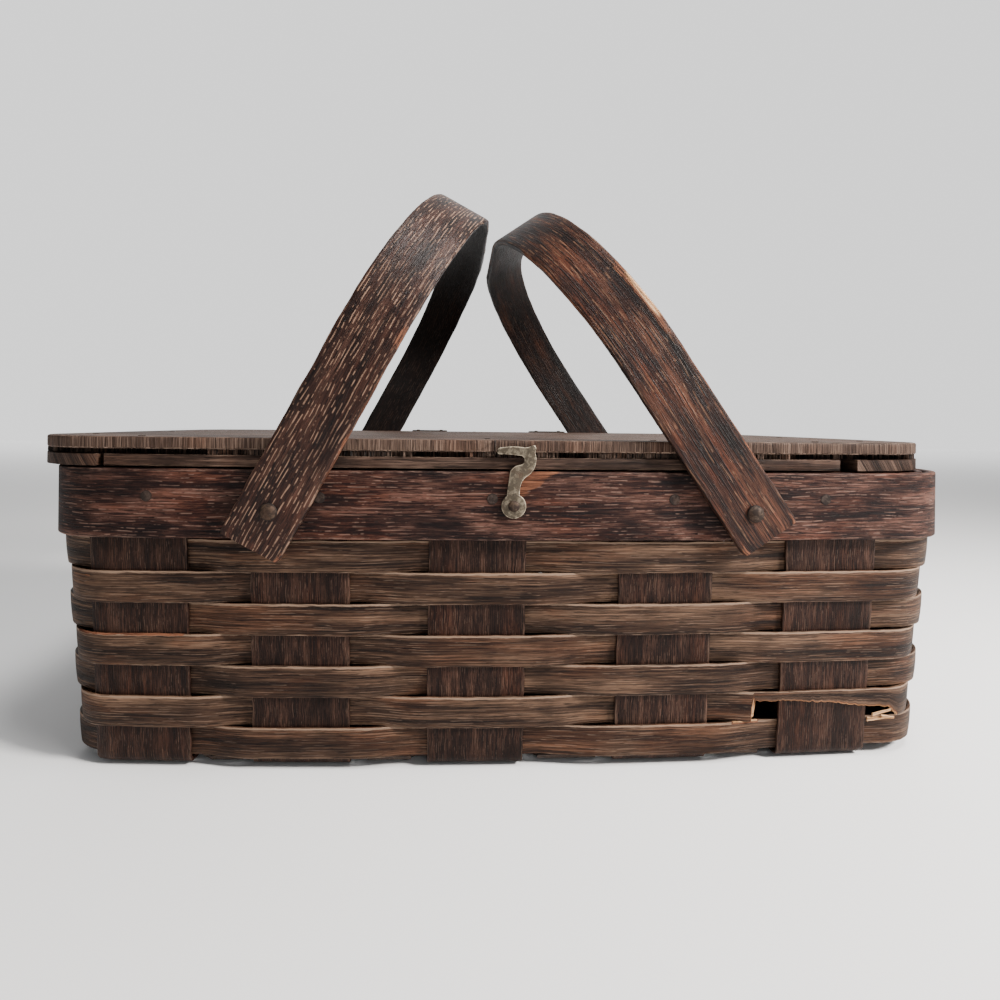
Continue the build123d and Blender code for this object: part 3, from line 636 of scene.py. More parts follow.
def read_table(table: Sequence[tuple[float, ...]], at: float) -> tuple[float, ...]:
    """Values of a table between its entries.

    Args:
        table: Rows of a distance and its values, in rising order of distance.
        at: The distance.

    Returns:
        The values, blended between the two nearest rows.
    """
    low, high = 0, len(table) - 1
    while high - low > 1:
        mid = (low + high) // 2
        if table[mid][0] <= at:
            low = mid
        else:
            high = mid
    a, b = table[low], table[high]
    share = min(1.0, max(0.0, (at - a[0]) / (b[0] - a[0]))) if b[0] > a[0] else 0.0
    return tuple(p + (q - p) * share for p, q in zip(a[1:], b[1:]))


def wander(x: float, y: float = 0.0, seed: float = 0.0) -> float:
    """Smooth wandering from about -1 to 1."""
    return noise.noise(Vector((x, y, seed * 7.31 + 0.5))) * 1.6


Lay = Callable[[float, float, float], Vector]
Wear = Callable[[float, float], tuple[float, float]]


def unworn(x: float, y: float) -> tuple[float, float]:
    """No fresh wood and no rubbed edge at any place of a strip."""
    return 0.0, 0.0


def all_fresh(x: float, y: float) -> tuple[float, float]:
    """Fresh wood all over a strip."""
    return 1.0, 0.0


@dataclass
class Strip:
    """A strip of wood, made flat and then bent to its place."""

    name: str
    length: float
    width: float
    thickness: float
    step: float = 2.5
    rows: int = 6
    ease: float = 0.35
    turns: int = 2
    wear: Wear = unworn

    def flat(self) -> bmesh.types.BMesh:
        """Make the strip flat: X along from 0, Y across and Z through, its edges eased.

        Returns:
            The mesh.
        """
        mesh = bmesh.new()
        steps = max(2, round(self.length / self.step))
        bmesh.ops.create_grid(mesh, x_segments=steps, y_segments=self.rows, size=0.5)
        bmesh.ops.scale(mesh, vec=(self.length, self.width, 1), verts=mesh.verts)
        bmesh.ops.translate(mesh, vec=(self.length / 2, 0, -self.thickness / 2), verts=mesh.verts)
        lifted = bmesh.ops.extrude_face_region(mesh, geom=mesh.faces[:])["geom"]
        lifted = [v for v in lifted if isinstance(v, bmesh.types.BMVert)]
        bmesh.ops.translate(mesh, vec=(0, 0, self.thickness), verts=lifted)
        bmesh.ops.recalc_face_normals(mesh, faces=mesh.faces[:])
        half = self.width / 2 - NEAR
        depth = self.thickness / 2 - NEAR
        edges = [
            e
            for e in mesh.edges
            if all(abs(v.co.y) > half and abs(v.co.z) > depth for v in e.verts)
            and abs(e.verts[0].co.x - e.verts[1].co.x) > NEAR
        ]
        bmesh.ops.bevel(
            mesh, geom=edges, offset=self.ease, segments=self.turns, profile=0.5, affect="EDGES", material=-1
        )
        return mesh

    def build(self, lay: Lay, seed: float) -> Piece:
        """Bend the strip to its place.

        Args:
            lay: Turns a flat point into its place.
            seed: Sets this strip's stretch of grain.

        Returns:
            The object.
        """
        mesh = self.flat()
        grain = mesh.loops.layers.uv.new("grain")
        across = mesh.loops.layers.uv.new("across")
        wear = mesh.loops.layers.uv.new("wear")
        for face in mesh.faces:
            for loop in face.loops:
                x, y, z = loop.vert.co
                loop[grain].uv = (x * MM + seed * 0.71, (y + z * 0.6) * MM + seed * 0.173)
                loop[across].uv = (z / self.thickness + 0.5, y / self.width + 0.5)
                loop[wear].uv = self.wear(x, y)
        for vert in mesh.verts:
            vert.co = lay(*vert.co) * MM
        bmesh.ops.recalc_face_normals(mesh, faces=mesh.faces[:])
        return finish_mesh(mesh, self.name)


def finish_mesh(mesh: bmesh.types.BMesh, name: str, sharp: float = 38.0) -> Piece:
    """Turn a bmesh into an object in the scene.

    Args:
        mesh: The bmesh, which is freed.
        name: The object's name.
        sharp: Edges sharper than this, in degrees, stay sharp.

    Returns:
        The object.
    """
    data = bpy.data.meshes.new(name)
    mesh.to_mesh(data)
    mesh.free()
    data.polygons.foreach_set("use_smooth", [True] * len(data.polygons))
    data.set_sharp_from_angle(angle=math.radians(sharp))
    made = bpy.data.objects.new(name, data)
    bpy.context.scene.collection.objects.link(made)
    return made


def joined(parts: Sequence[Piece], name: str) -> Piece:
    """Put several pieces' meshes into one object.

    Args:
        parts: The pieces, which are removed.
        name: Name of the new object.

    Returns:
        The object.
    """
    mesh = bmesh.new()
    for part in parts:
        mesh.from_mesh(part.data)
        bpy.data.meshes.remove(part.data)
    return finish_mesh(mesh, name)


def settle(piece: Piece, body: str, slot: str, finish: Material, *nodes: str) -> None:
    """Dress a piece and hand it to its body.

    Args:
        piece: The piece.
        body: The body that it rides on.
        slot: The record's material slot, which is not used.
        finish: Its material.
        nodes: The CAD nodes that it replaces.
    """
    piece.data.materials.clear()
    piece.data.materials.append(finish)
    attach(piece, body)
    if nodes:
        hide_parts(*nodes)
    log.info("%s: %d faces on %s", piece.name, len(piece.data.polygons), body)


@dataclass(frozen=True)
class Turned:
    """A round piece, its profile given as radius and distance along its axis."""

    profile: tuple[tuple[float, float], ...]
    steps: int = 24

    def build(self, name: str, spot: Spot, outward: Spot) -> Piece:
        """Turn the profile round.

        Args:
            name: The object's name.
            spot: Where its axis starts.
            outward: Direction of the axis.

        Returns:
            The object.
        """
        mesh = bmesh.new()
        row = [mesh.verts.new((radius, 0, far)) for radius, far in self.profile]
        edges = [mesh.edges.new(pair) for pair in zip(row, row[1:])]
        bmesh.ops.spin(
            mesh, geom=row + edges, cent=(0, 0, 0), axis=(0, 0, 1), angle=2 * math.pi, steps=self.steps,
            use_merge=True,
        )
        bmesh.ops.remove_doubles(mesh, verts=mesh.verts[:], dist=0.001)
        grain = mesh.loops.layers.uv.new("grain")
        for face in mesh.faces:
            for loop in face.loops:
                loop[grain].uv = (loop.vert.co.xy.length * MM, loop.vert.co.z * MM)
        turn = Vector(outward).to_track_quat("Z", "Y").to_matrix()
        bmesh.ops.rotate(mesh, verts=mesh.verts[:], matrix=turn)
        bmesh.ops.translate(mesh, vec=spot, verts=mesh.verts[:])
        bmesh.ops.scale(mesh, vec=(MM, MM, MM), verts=mesh.verts[:])
        bmesh.ops.recalc_face_normals(mesh, faces=mesh.faces[:])
        return finish_mesh(mesh, name, 50.0)


@dataclass
class Metalwork:
    """Rivets, nails and the hook with its pin."""

    pivot_x: float = 114.0
    pivot_z: float = 127.5
    bow_inner: float = 140.1
    bow_outer: float = 144.1
    nail_z: float = 133.5
    nail_x: tuple[float, ...] = (-173.0, -92.0, -11.0, 76.7, 153.0)
    nail_y: tuple[float, ...] = (-74.0, 0.0, 74.0)
    inner_face: float = 8.8
    hook_x: float = -1.0
    hook_z: float = 130.3

    def rivet(self, side: int, end: int) -> Piece:
        """A bow's rivet: head, journal, collar on the band, shank and burred end.

        Args:
            side: -1 for the left bow, 1 for the right.
            end: -1 at the front, 1 at the back.

        Returns:
            The object.
        """
        collar = RIM.half_depth(self.pivot_x - 4.5, 0)
        face = RIM.half_depth(self.pivot_x + 4.5, self.inner_face)
        burr = face - 0.9
        bow = self.bow_inner - 0.1
        head = self.bow_outer + 0.05
        profile = (
            (0, burr - 1.0), (1.2, burr - 1.0), (2.2, burr - 0.7), (2.9, burr), (4.3, burr),
            (4.5, burr + 0.2), (4.5, face), (2.0, face), (2.0, collar), (4.3, collar), (4.5, collar + 0.2),
            (4.5, bow), (2.0, bow), (2.0, head), (3.9, head), (4.15, head + 0.3), (4.1, head + 0.65),
            (3.75, head + 0.95), (3.5, head + 1.0), (3.2, head + 1.25), (2.4, head + 1.7),
            (1.3, head + 2.05), (0, head + 2.15),
        )
        spot = (side * self.pivot_x, 0, self.pivot_z)
        return Turned(profile, steps=32).build(f"rivet_{side}_{end}", spot, (0, end, 0))

    def nail(self, spot: Spot, outward: Spot, face: float) -> Piece:
        """A nail through both bands, its head just proud of the outer one.

        Args:
            spot: A point on its axis.
            outward: Direction of its head.
            face: Distance from the spot to the outer band's face.

        Returns:
            The object.
        """
        tip = face - self.inner_face
        profile = (
            (0, tip), (0.8, tip), (0.8, face - 0.02), (2.5, face - 0.02), (2.6, face + 0.1),
            (2.5, face + 0.3), (2.2, face + 0.38), (2.0, face + 0.34), (1.2, face + 0.46), (0, face + 0.5),
        )
        return Turned(profile, steps=20).build("nail", spot, outward)

    def pin(self) -> Piece:
        """The round-headed pin that the hook turns on.

        Returns:
            The object.
        """
        head = RIM.half_depth(self.hook_x, 0) + 2.5
        profile = (
            (0, head - 11.0), (1.3, head - 11.0), (1.3, head), (2.55, head), (2.7, head + 0.2),
            (2.55, head + 0.6), (2.0, head + 1.0), (1.1, head + 1.25), (0, head + 1.3),
        )
        return Turned(profile, steps=28).build("round_hook_pin", (self.hook_x, 0, self.hook_z), (0, -1, 0))

    def rounded(self, node: Piece, name: str, ease: float) -> Piece:
        """Copy of a CAD piece with eased edges.

        Args:
            node: The CAD piece.
            name: Name of the copy.
            ease: Width of the easing.

        Returns:
            The object.
        """
        mesh = bmesh.new()
        mesh.from_mesh(node.data)
        mesh.transform(node.matrix_world)
        bmesh.ops.remove_doubles(mesh, verts=mesh.verts[:], dist=1e-6)
        flat = math.radians(1.5)
        bmesh.ops.dissolve_limit(mesh, angle_limit=flat, verts=mesh.verts[:], edges=mesh.edges[:])
        sharp = [e for e in mesh.edges if e.is_manifold and e.calc_face_angle(0.0) > math.radians(50)]
        wear = mesh.loops.layers.uv.new("wear")
        eased = bmesh.ops.bevel(
            mesh, geom=sharp, offset=ease * MM, segments=2, profile=0.5, affect="EDGES", material=-1,
            clamp_overlap=True,
        )
        for face in eased["faces"]:
            for loop in face.loops:
                loop[wear].uv = (1.0, 0.0)
        bmesh.ops.recalc_face_normals(mesh, faces=mesh.faces[:])
        return finish_mesh(mesh, name, 45.0)

    def make(self, iron: dict[str, Material]) -> None:
        """Make the round pieces and the hook, and dress the hinges, the staple and the brads.

        Args:
            iron: The metal finishes by name.
        """
        rivet, nail = iron["rivet_bronze"], iron["nail_iron"]
        for end, depth in ((-1, "front"), (1, "back")):
            for side, hand in ((-1, "left"), (1, "right")):
                node = f"{depth}_{hand}_rivet"
                piece = self.rivet(side, end)
                piece.name = "round_" + node
                settle(piece, "basket", "rivet_metal", rivet, node)
        nails = []
        for end in (-1, 1):
            for x in self.nail_x:
                nails.append(self.nail((x, 0, self.nail_z), (0, end, 0), RIM.half_depth(x, 0)))
            for y in self.nail_y:
                nails.append(self.nail((0, y, self.nail_z), (end, 0, 0), RIM.half_length(y, 0)))
        settle(joined(nails, "round_rim_nails"), "basket", "rivet_metal", nail, "rim_nails")
        settle(self.pin(), "basket", "rivet_metal", rivet, "hook_pin")
        worn = self.rounded(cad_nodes()["latch_hook"], "worn_latch_hook", 0.45)
        settle(worn, "hook", "hook_iron", iron["hook_iron"], "latch_hook")
        for name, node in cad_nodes().items():
            if "hinge" in name:
                dress(node, iron["hinge_iron"])
        dress(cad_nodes()["eye_staple"], iron["staple_wire"])
        dress(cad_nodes()["lid_brads"], nail)


# By row: x along the front wall and the share of the weaver's width that is left there
TORN = {
    6: (
        (121.6, 1.0), (122.2, 0.30), (137.0, 0.27), (160.0, 0.38), (180.0, 0.55), (195.0, 0.64), (202.0, 1.0),
    ),
}
# By row: first and last x, lowest and highest place across, and how fresh the wood is
WEAVER_SCARS = {
    4: ((-212.0, -158.0, 6.4, 9.0, 0.62),),
    7: ((112.0, 127.0, 6.2, 9.0, 0.95),),
    2: ((-205.0, -201.0, 3.0, 6.0, 0.5),),
}


@dataclass
class WovenBody:
    """The woven walls and base of the basket.

    A stick's place is its first x, its height, how far it rises and its length.
    """

    splint_width: float = 47.0
    splint_thickness: float = 1.6
    bend_radius: float = 4.0
    cross_x: tuple[float, ...] = (-179.0, -102.1, -17.6, 74.7, 159.0)
    long_y: tuple[float, ...] = (-74.0, 0.0, 74.0)
    rows: int = 7
    weaver_width: float = 15.0
    weaver_thickness: float = 1.4
    pitch: float = 15.3
    weave_gap: float = 0.25
    taper: float = 8.5
    wall: float = 4.9
    base_step: float = 1.8
    filler_gap: float = 8.0
    base_end: float = 216.0
    end_gap: float = 0.3
    table: list[tuple[float, float, float]] = field(default_factory=list)
    kept: dict[int, tuple[tuple[float, float], ...]] = field(default_factory=lambda: dict(TORN))
    scars: dict[int, tuple[tuple[float, ...], ...]] = field(default_factory=lambda: dict(WEAVER_SCARS))
    stick_places: tuple[tuple[float, ...], ...] = (
        (183.0, 20.0, 1.0, 12.0), (185.5, 22.4, 2.6, 9.5), (190.0, 21.6, -0.8, 7.0),
    )

    def wall_inset(self, z: float) -> float:
        """Inset of the middle of the wall at this height."""
        return self.wall + self.taper * max(0.0, BAND_FOOT - z) / BAND_FOOT

    def spans(self) -> list[tuple[float, float]]:
        """Find where the uprights stand.

        Returns:
            Normal angles where each starts and ends, round from the right end's front.
        """
        half = self.splint_width / 2 + self.splint_thickness

        def at_y(y: float) -> float:
            """Normal angle of the right wall's point at this y."""
            return RIM.angle_at_y(y, self.wall)

        def at_x(x: float) -> float:
            """Normal angle of the back wall's point at this x."""
            return RIM.angle_at_x(x, self.wall)

        right = [(at_y(y - half), at_y(y + half)) for y in self.long_y]
        back = [(at_x(x + half), at_x(x - half)) for x in reversed(self.cross_x)]
        left = [(math.pi - at_y(y + half), math.pi - at_y(y - half)) for y in reversed(self.long_y)]
        front = [(2 * math.pi - at_x(x - half), 2 * math.pi - at_x(x + half)) for x in self.cross_x]
        return right + back + left + front

    def weave_table(self) -> list[tuple[float, float, float]]:
        """Walk round the wall from the middle of the fifth upright.

        Returns:
            Rows of the distance, the normal angle and the swing, which is 1 where an even row
            runs inside and -1 where it runs outside.
        """
        spans = self.spans()
        first = 4
        walk = RIM.walk(sum(spans[first]) / 2, self.wall)
        marks = []
        for step in range(len(spans) + 1):
            index = (first + step) % len(spans)
            lap = 2 * math.pi * ((first + step) // len(spans))
            marks.append((spans[index][0] + lap, spans[index][1] + lap, 1.0 if step % 2 == 0 else -1.0))
        gone = [(angle, distance) for distance, angle in walk]
        table = []
        for distance, angle in walk:
            swing = 1.0
            for before, after in zip(marks, marks[1:]):
                if before[1] < angle < after[0]:
                    start = read_table(gone, before[1])[0]
                    end = read_table(gone, after[0])[0]
                    swing = before[2] * math.cos(math.pi * (distance - start) / (end - start))
                    break
                if before[0] <= angle <= before[1]:
                    swing = before[2]
                    break
            table.append((distance, angle, swing))
        return table

    def front(self, x: float) -> float:
        """Distance along a weaver of the front wall's point at this x."""
        angle = 2 * math.pi - RIM.angle_at_x(x, self.wall)
        return read_table([(row[1], row[0]) for row in self.table], angle)[0]

    def weaver(self, row: int) -> Piece:
        """One strip round the wall.

        Args:
            row: Number of the row, from 1 at the top.

        Returns:
            The object.
        """
        if not self.table:
            self.table = self.weave_table()
        sign = 1.0 if row % 2 == 0 else -1.0
        middle = BAND_FOOT - 1.0 - (row - 1) * self.pitch - self.weaver_width / 2
        reach = (self.splint_thickness + self.weaver_thickness) / 2 + self.weave_gap
        length = self.table[-1][0]
        half = self.weaver_width / 2
        kept = [(self.front(x), share) for x, share in self.kept.get(row, ())]
        scars = [(self.front(x0), self.front(x1), *rest) for x0, x1, *rest in self.scars.get(row, ())]
        known: dict[float, tuple[float, ...]] = {}

        def lay(x: float, y: float, z: float) -> Vector:
            """Bend a flat point round the wall.

            Args:
                x: Distance along the weaver.
                y: Distance across it.
                z: Distance through it.

            Returns:
                The point's place.
            """
            key = round(x, 3)
            if key not in known:
                walked = self.end_gap + x * (length - 2 * self.end_gap) / length
                angle, swing = read_table(self.table, walked)
                swing *= sign
                lift = wander(x / 45, 0, row) * 0.25
                low = wander(x / 9, 3, row) * 0.14 + wander(x / 2.3, 5, row) * 0.07
                high = wander(x / 7, 8, row) * 0.14 + wander(x / 2.1, 9, row) * 0.07
                known[key] = (angle, swing, lift, low, high, wander(x / 60, 4, row) * 0.2)
            angle, swing, lift, low, high, lean = known[key]
            if kept and kept[0][0] < x < kept[-1][0]:
                there = x + 0.7 * wander(y / 1.1, 0, 7)
                y = half - (half - y) * (read_table(kept, there)[0] + 0.03 * wander(x / 1.5, 2, row))
            share = y / half
            height = middle + y * (1.022 - 0.018 * swing) + lift * (1 - abs(share) * 0.4)
            height += -max(0.0, share) * (0.05 + high) + max(0.0, -share) * (0.05 + low)
            inset = self.wall_inset(height) + swing * reach - z + lean * share * 0.5
            inset -= 0.16 * (1 - share * share) * (1 - swing)
            px, py = RIM.point(angle, inset)
            return Vector((px, py, height))

        def wear(x: float, y: float) -> tuple[float, float]:
            """Say where the weaver is torn, chipped or rubbed, and where its upper edge gets a painted
            highlight.

            Args:
                x: Distance along the weaver.
                y: Distance across it.

            Returns:
                How fresh the wood is, and how much its upper edge is lightened, as rubbed wear and as painted
                highlight.
            """
            raw = 0.0
            for start, end, low, high, fresh in scars:
                if start < x < end and low <= y <= high:
                    raw = fresh
            if kept and kept[0][0] - 1.0 < x < kept[-1][0]:
                torn = y < -half + 0.4 or (y < 2.0 and abs(x - kept[0][0]) < 0.7)
                raw = max(raw, 0.95 if torn else 0.0)
            # The upper edge is lightened as rubbed wear and as a painted highlight of light from above
            return raw, 0.35 if y > half - 1.2 else 0.0

        size = (length, self.weaver_width, self.weaver_thickness)
        step = 0.8 if kept else 2.2
        return Strip(f"oak_weaver_{row}", *size, step=step, ease=0.3, wear=wear).build(lay, row)

    def sticks(self) -> Piece:
        """Split ends of the broken weaver, standing out beside the fifth upright.

        Returns:
            The object.
        """
        parts = []
        for number, (x0, z0, rise, span) in enumerate(self.stick_places):

            def lay(x: float, y: float, z: float) -> Vector:
                """Stand a flat point of a split end off the wall.

                Args:
                    x: Distance along the split end.
                    y: Distance across it.
                    z: Distance through it.

                Returns:
                    The point's place.
                """
                taper = 1 - 0.5 * x / span
                there = x0 + x
                height = z0 + rise * x / span + y * taper + 0.12 * wander(x / 2, y, number)
                inset = self.wall_inset(height) - 1.5 - 0.5 * number - 0.06 * x - z
                return Vector((there, -RIM.half_depth(there, inset), height))

            size = {"width": 2.0, "thickness": 0.8, "step": 0.9, "rows": 3, "ease": 0.2, "turns": 1}
            strip = Strip(f"stick_{number}", span, **size, wear=all_fresh)
            parts.append(strip.build(lay, number))
        return joined(parts, "oak_splinters")

    def upright(self, name: str, across_at: float, along_x: bool, seed: float) -> Piece:
        """One splint up a wall, through the base and up the opposite wall.

        Args:
            name: The object's name.
            across_at: Where its middle lies across the wall.
            along_x: Whether it runs along X in the base.
            seed: Its stretch of grain.

        Returns:
            The object.
        """
        half = self.splint_thickness / 2
        middle_radius = self.bend_radius - half
        base_mid = half + self.base_step
        bend_z = base_mid - half + self.bend_radius
        foot = self.wall_inset(bend_z) - half
        edge_of = RIM.half_length if along_x else RIM.half_depth
        flat = edge_of(across_at, foot) - self.bend_radius
        arc = math.pi / 2 * middle_radius
        length = 2 * (flat + arc + RIM_TOP - 0.1 - bend_z)
        levels = self.base_levels()

        def lay(x: float, y: float, z: float) -> Vector:
            """Bend a flat point to the base or up a wall.

            Args:
                x: Distance along the splint.
                y: Distance across it.
                z: Distance through it.

            Returns:
                The point's place.
            """
            side = 1.0 if x > length / 2 else -1.0
            gone = abs(x - length / 2)
            spread = 1 + 0.008 * wander(x / 30, 2, seed)
            across = across_at + y * spread + 0.25 * wander(x / 5, y / 20, seed)
            if gone < flat:
                out = (edge_of(across, foot) - self.bend_radius) * gone / flat
                level = base_mid
                if along_x:
                    level = read_table(levels, side * out)[0]
                height = level - z
            elif gone < flat + arc:
                turn = (gone - flat) / middle_radius
                out = edge_of(across, foot) - self.bend_radius + (middle_radius + z) * math.sin(turn)
                height = bend_z - (middle_radius + z) * math.cos(turn)
            else:
                height = bend_z + gone - flat - arc
                out = edge_of(across, self.wall_inset(height)) + z
            if along_x:
                return Vector((side * out, across, height))
            return Vector((across, side * out, height))

        size = (length, self.splint_width, self.splint_thickness)
        return Strip(name, *size, step=2.4, rows=12, ease=0.3).build(lay, seed)

    def base_levels(self) -> list[tuple[float, float]]:
        """Lay out how the long splints weave through the others in the base.

        Returns:
            Rows of a place along X and the level of the splints' middle there.
        """
        low = self.splint_thickness / 2
        mid = low + self.base_step
        high = mid + self.base_step
        half = self.splint_width / 2 + 0.5
        clear = self.splint_width / 2 + self.filler_gap
        rows = [(-self.base_end, mid)]
        for index, x in enumerate(self.cross_x):
            rows += [(x - half, low), (x + half, low)]
            if index + 1 < len(self.cross_x):
                rows += [(x + clear - 0.5, high), (self.cross_x[index + 1] - clear + 0.5, high)]
        rows.append((self.base_end, mid))
        return rows

    def make(self, weaver: Material, upright: Material, hidden: Material) -> None:
        """Make and dress the walls and the base.

        Args:
            weaver: Finish of the weavers.
            upright: Finish of the splints.
            hidden: Finish of the fillers.
        """
        for row in range(1, self.rows + 1):
            settle(self.weaver(row), "basket", "weaver_splint", weaver, f"weaver_row_{row}")
        settle(self.sticks(), "basket", "weaver_splint", weaver)
        for number, x in enumerate(self.cross_x, 1):
            piece = self.upright(f"oak_cross_{number}", x, False, number * 1.7)
            settle(piece, "basket", "upright_splint", upright, f"cross_splint_{number}")
        for number, y in enumerate(self.long_y, 1):
            piece = self.upright(f"oak_long_{number}", y, True, 20 + number * 2.3)
            settle(piece, "basket", "upright_splint", upright, f"long_splint_{number}")
        for name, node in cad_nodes().items():
            if "filler" in name:
                dress(node, hidden)


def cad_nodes() -> dict[str, Piece]:
    """The CAD nodes by name."""
    return FRAME["nodes"]


def dress(node: Piece, finish: Material) -> None:
    """Give a CAD node a finish."""
    node.data.materials.clear()
    node.data.materials.append(finish)


@dataclass
class RimBands:
    """The bentwood bands round the rim, each lapped at the back."""

    height: float = 33.0
    thickness: float = 4.0
    inner_height: float = 24.0
    inner_thickness: float = 3.0
    inner_inset: float = 5.8
    lap: float = 60.0
    outer_lap_x: float = 30.0
    inner_lap_x: float = -40.0
    thinnest: float = 0.06
    patch_foot: float = 134.5
    patch_x: tuple[float, float] = (-6.0, 30.0)

    def hoop(self, name: str, height: float, inset: float, thickness: float, lap_x: float) -> Piece:
        """A hoop bent from one strip, its thinned ends lapped.

        Args:
            name: The object's name.
            height: Its height.
            inset: Inset of its outer face.
            thickness: Its thickness.
            lap_x: Where the lap's middle lies on the back.

        Returns:
            The object.
        """
        middle = inset + thickness / 2
        start = RIM.angle_at_x(lap_x + self.lap / 2, middle)
        round_once = RIM.walk(start, middle)
        girth = round_once[-1][0]
        length = girth + self.lap
        known: dict[float, tuple[float, ...]] = {}

        def lay(x: float, y: float, z: float) -> Vector:
            """Bend a flat point round the rim.

            Args:
                x: Distance along the hoop.
                y: Distance across it.
                z: Distance through it.

            Returns:
                The point's place.
            """
            key = round(x, 3)
            if key not in known:
                angle = read_table(round_once, x % girth if x < length else self.lap)[0]
                coarse = wander(x / 30, 1, inset), wander(x / 26, 6, inset)
                known[key] = (angle, *coarse, wander(x / 2, 2, inset))
            angle, low, high, fine = known[key]
            share = y / height * 2
            through = z / thickness
            if x < self.lap:
                thin = max(self.thinnest, x / self.lap)
                through = -0.5 + (through + 0.5) * thin - 0.02
            elif x > girth:
                thin = max(self.thinnest, (length - x) / self.lap)
                through = 0.5 - (0.5 - through) * thin
            edge = max(0.0, abs(share) - 0.8) / 0.2
            rub = (0.18 + 0.16 * (low if share < 0 else high) + 0.06 * fine) * edge
            up = RIM_TOP - height / 2 + y - math.copysign(rub, share)
            px, py = RIM.point(angle, middle - through * thickness)
            return Vector((px, py, up))

        def wear(x: float, y: float) -> tuple[float, float]:
            """Say where a chip came off the outer band beside the hook.

            Args:
                x: Distance along the hoop.
                y: Distance across it.

            Returns:
                How fresh the wood is, and 0 for its edges.
            """
            angle = read_table(round_once, x % girth)[0]
            px, py = RIM.point(angle, inset)
            up = RIM_TOP - height / 2 + y
            if inset > 0.0 or py > 0 or not self.patch_x[0] < px < self.patch_x[1]:
                return 0.0, 0.0
            slope = (up - self.patch_foot) / (RIM_TOP - self.patch_foot)
            inside = min(px + 1.0, 4.0 + 16.0 * slope - px, up - self.patch_foot)
            return min(0.7, max(0.0, 0.5 + 0.12 * inside)), 0.0

        strip = Strip(name, length, height, thickness, step=2.2, rows=16, ease=0.6, turns=3, wear=wear)
        return strip.build(lay, 31 + inset)

    def make(self, finish: Material) -> None:
        """Make and dress both bands.

        Args:
            finish: Their finish.
        """
        outer = self.hoop("oak_rim_outer", self.height, 0.0, self.thickness, self.outer_lap_x)
        settle(outer, "basket", "rim_oak", finish, "outer_rim_band")
        size = (self.inner_height, self.inner_inset, self.inner_thickness)
        inner = self.hoop("oak_rim_inner", *size, self.inner_lap_x)
        settle(inner, "basket", "rim_oak", finish, "inner_rim_band")


@dataclass
class Bow:
    """One bentwood carrying bow.

    A scar is its first and last distance along the bow, its lowest and highest place across and
    how fresh its wood is.
    """

    name: str
    side: float
    lean: float
    tail: float
    seed: float
    body: str
    node: str
    scars: tuple[tuple[float, ...], ...]
    pivot_x: float = 114.0
    pivot_z: float = 127.5
    middle_y: float = 142.1
    height: float = 192.0
    width: float = 31.0
    thickness: float = 4.0
    top_radius: float = 104.0
    foot_ease: float = 3.0
    turns: int = 90

    def path(self) -> list[tuple[float, ...]]:
        """Lay out the bow's middle line.

        Returns:
            Rows of the distance from the front end, the place in the bow's plane and the outward
            normal.
        """
        spring = self.height - self.top_radius
        reach = self.middle_y - self.top_radius
        rows = [(0.0, -self.middle_y, -self.tail, -1.0, 0.0)]
        gone = self.tail + spring
        rows.append((gone, -self.middle_y, spring, -1.0, 0.0))
        quarter = [math.pi / 2 * k / self.turns for k in range(1, self.turns + 1)]
        for a in quarter:
            v, w = -math.cos(a), math.sin(a)
            there = gone + self.top_radius * a
            rows.append((there, -reach + self.top_radius * v, spring + self.top_radius * w, v, w))
        gone = rows[-1][0] + 2 * reach
        rows.append((gone, reach, self.height, 0.0, 1.0))
        for a in quarter:
            v, w = math.sin(a), math.cos(a)
            there = gone + self.top_radius * a
            rows.append((there, reach + self.top_radius * v, spring + self.top_radius * w, v, w))
        rows.append((rows[-1][0] + spring + self.tail, self.middle_y, -self.tail, 1.0, 0.0))
        return rows

    def build(self) -> Piece:
        """Bend the bow.

        Returns:
            The object.
        """
        path = self.path()
        length = path[-1][0]
        tilt = math.radians(self.lean)
        up = Vector((-self.side * math.sin(tilt), 0, math.cos(tilt)))
        wide = Vector((math.cos(tilt), 0, self.side * math.sin(tilt)))
        pivot = Vector((self.side * self.pivot_x, 0, self.pivot_z))

        def lay(x: float, y: float, z: float) -> Vector:
            """Bend a flat point along the bow, its edges worn round.

            Args:
                x: Distance along the bow.
                y: Distance across it.
                z: Distance through it.

            Returns:
                The point's place.
            """
            v, w, nv, nw = read_table(path, x)
            share = y / self.width * 2
            rub = max(0.0, abs(share) - 0.85) / 0.15
            worn = 0.25 + 0.22 * wander(x / 14, share, self.seed) + 0.08 * wander(x / 2.5, share, self.seed)
            y -= math.copysign(rub * max(0.0, worn), y)
            z *= 1 - 0.10 * rub
            end = min(x, length - x)
            if end < self.foot_ease:
                y *= 1 - 0.05 * ((self.foot_ease - end) / self.foot_ease) ** 2
            spot = Vector((0, v + nv * z, 0)) + up * (w + nw * z)
            return pivot + spot + wide * y

        def wear(x: float, y: float) -> tuple[float, float]:
            """Say where a chip came off the bow.

            Args:
                x: Distance along the bow.
                y: Distance across it.

            Returns:
                How fresh the wood is, and 0 for its edges.
            """
            raw = 0.0
            for start, end, low, high, fresh in self.scars:
                inside = min((x - start) * 0.15, (end - x) * 0.15, y - low, high - y)
                raw = max(raw, min(fresh, 0.45 + 0.3 * inside))
            return raw, 0.0

        size = (length, self.width, self.thickness)
        strip = Strip(self.name, *size, step=2.0, rows=16, ease=0.7, turns=3, wear=wear)
        return strip.build(lay, self.seed)

    def make(self, finish: Material) -> None:
        """Make and dress the bow."""
        settle(self.build(), self.body, "bow_oak", finish, self.node)


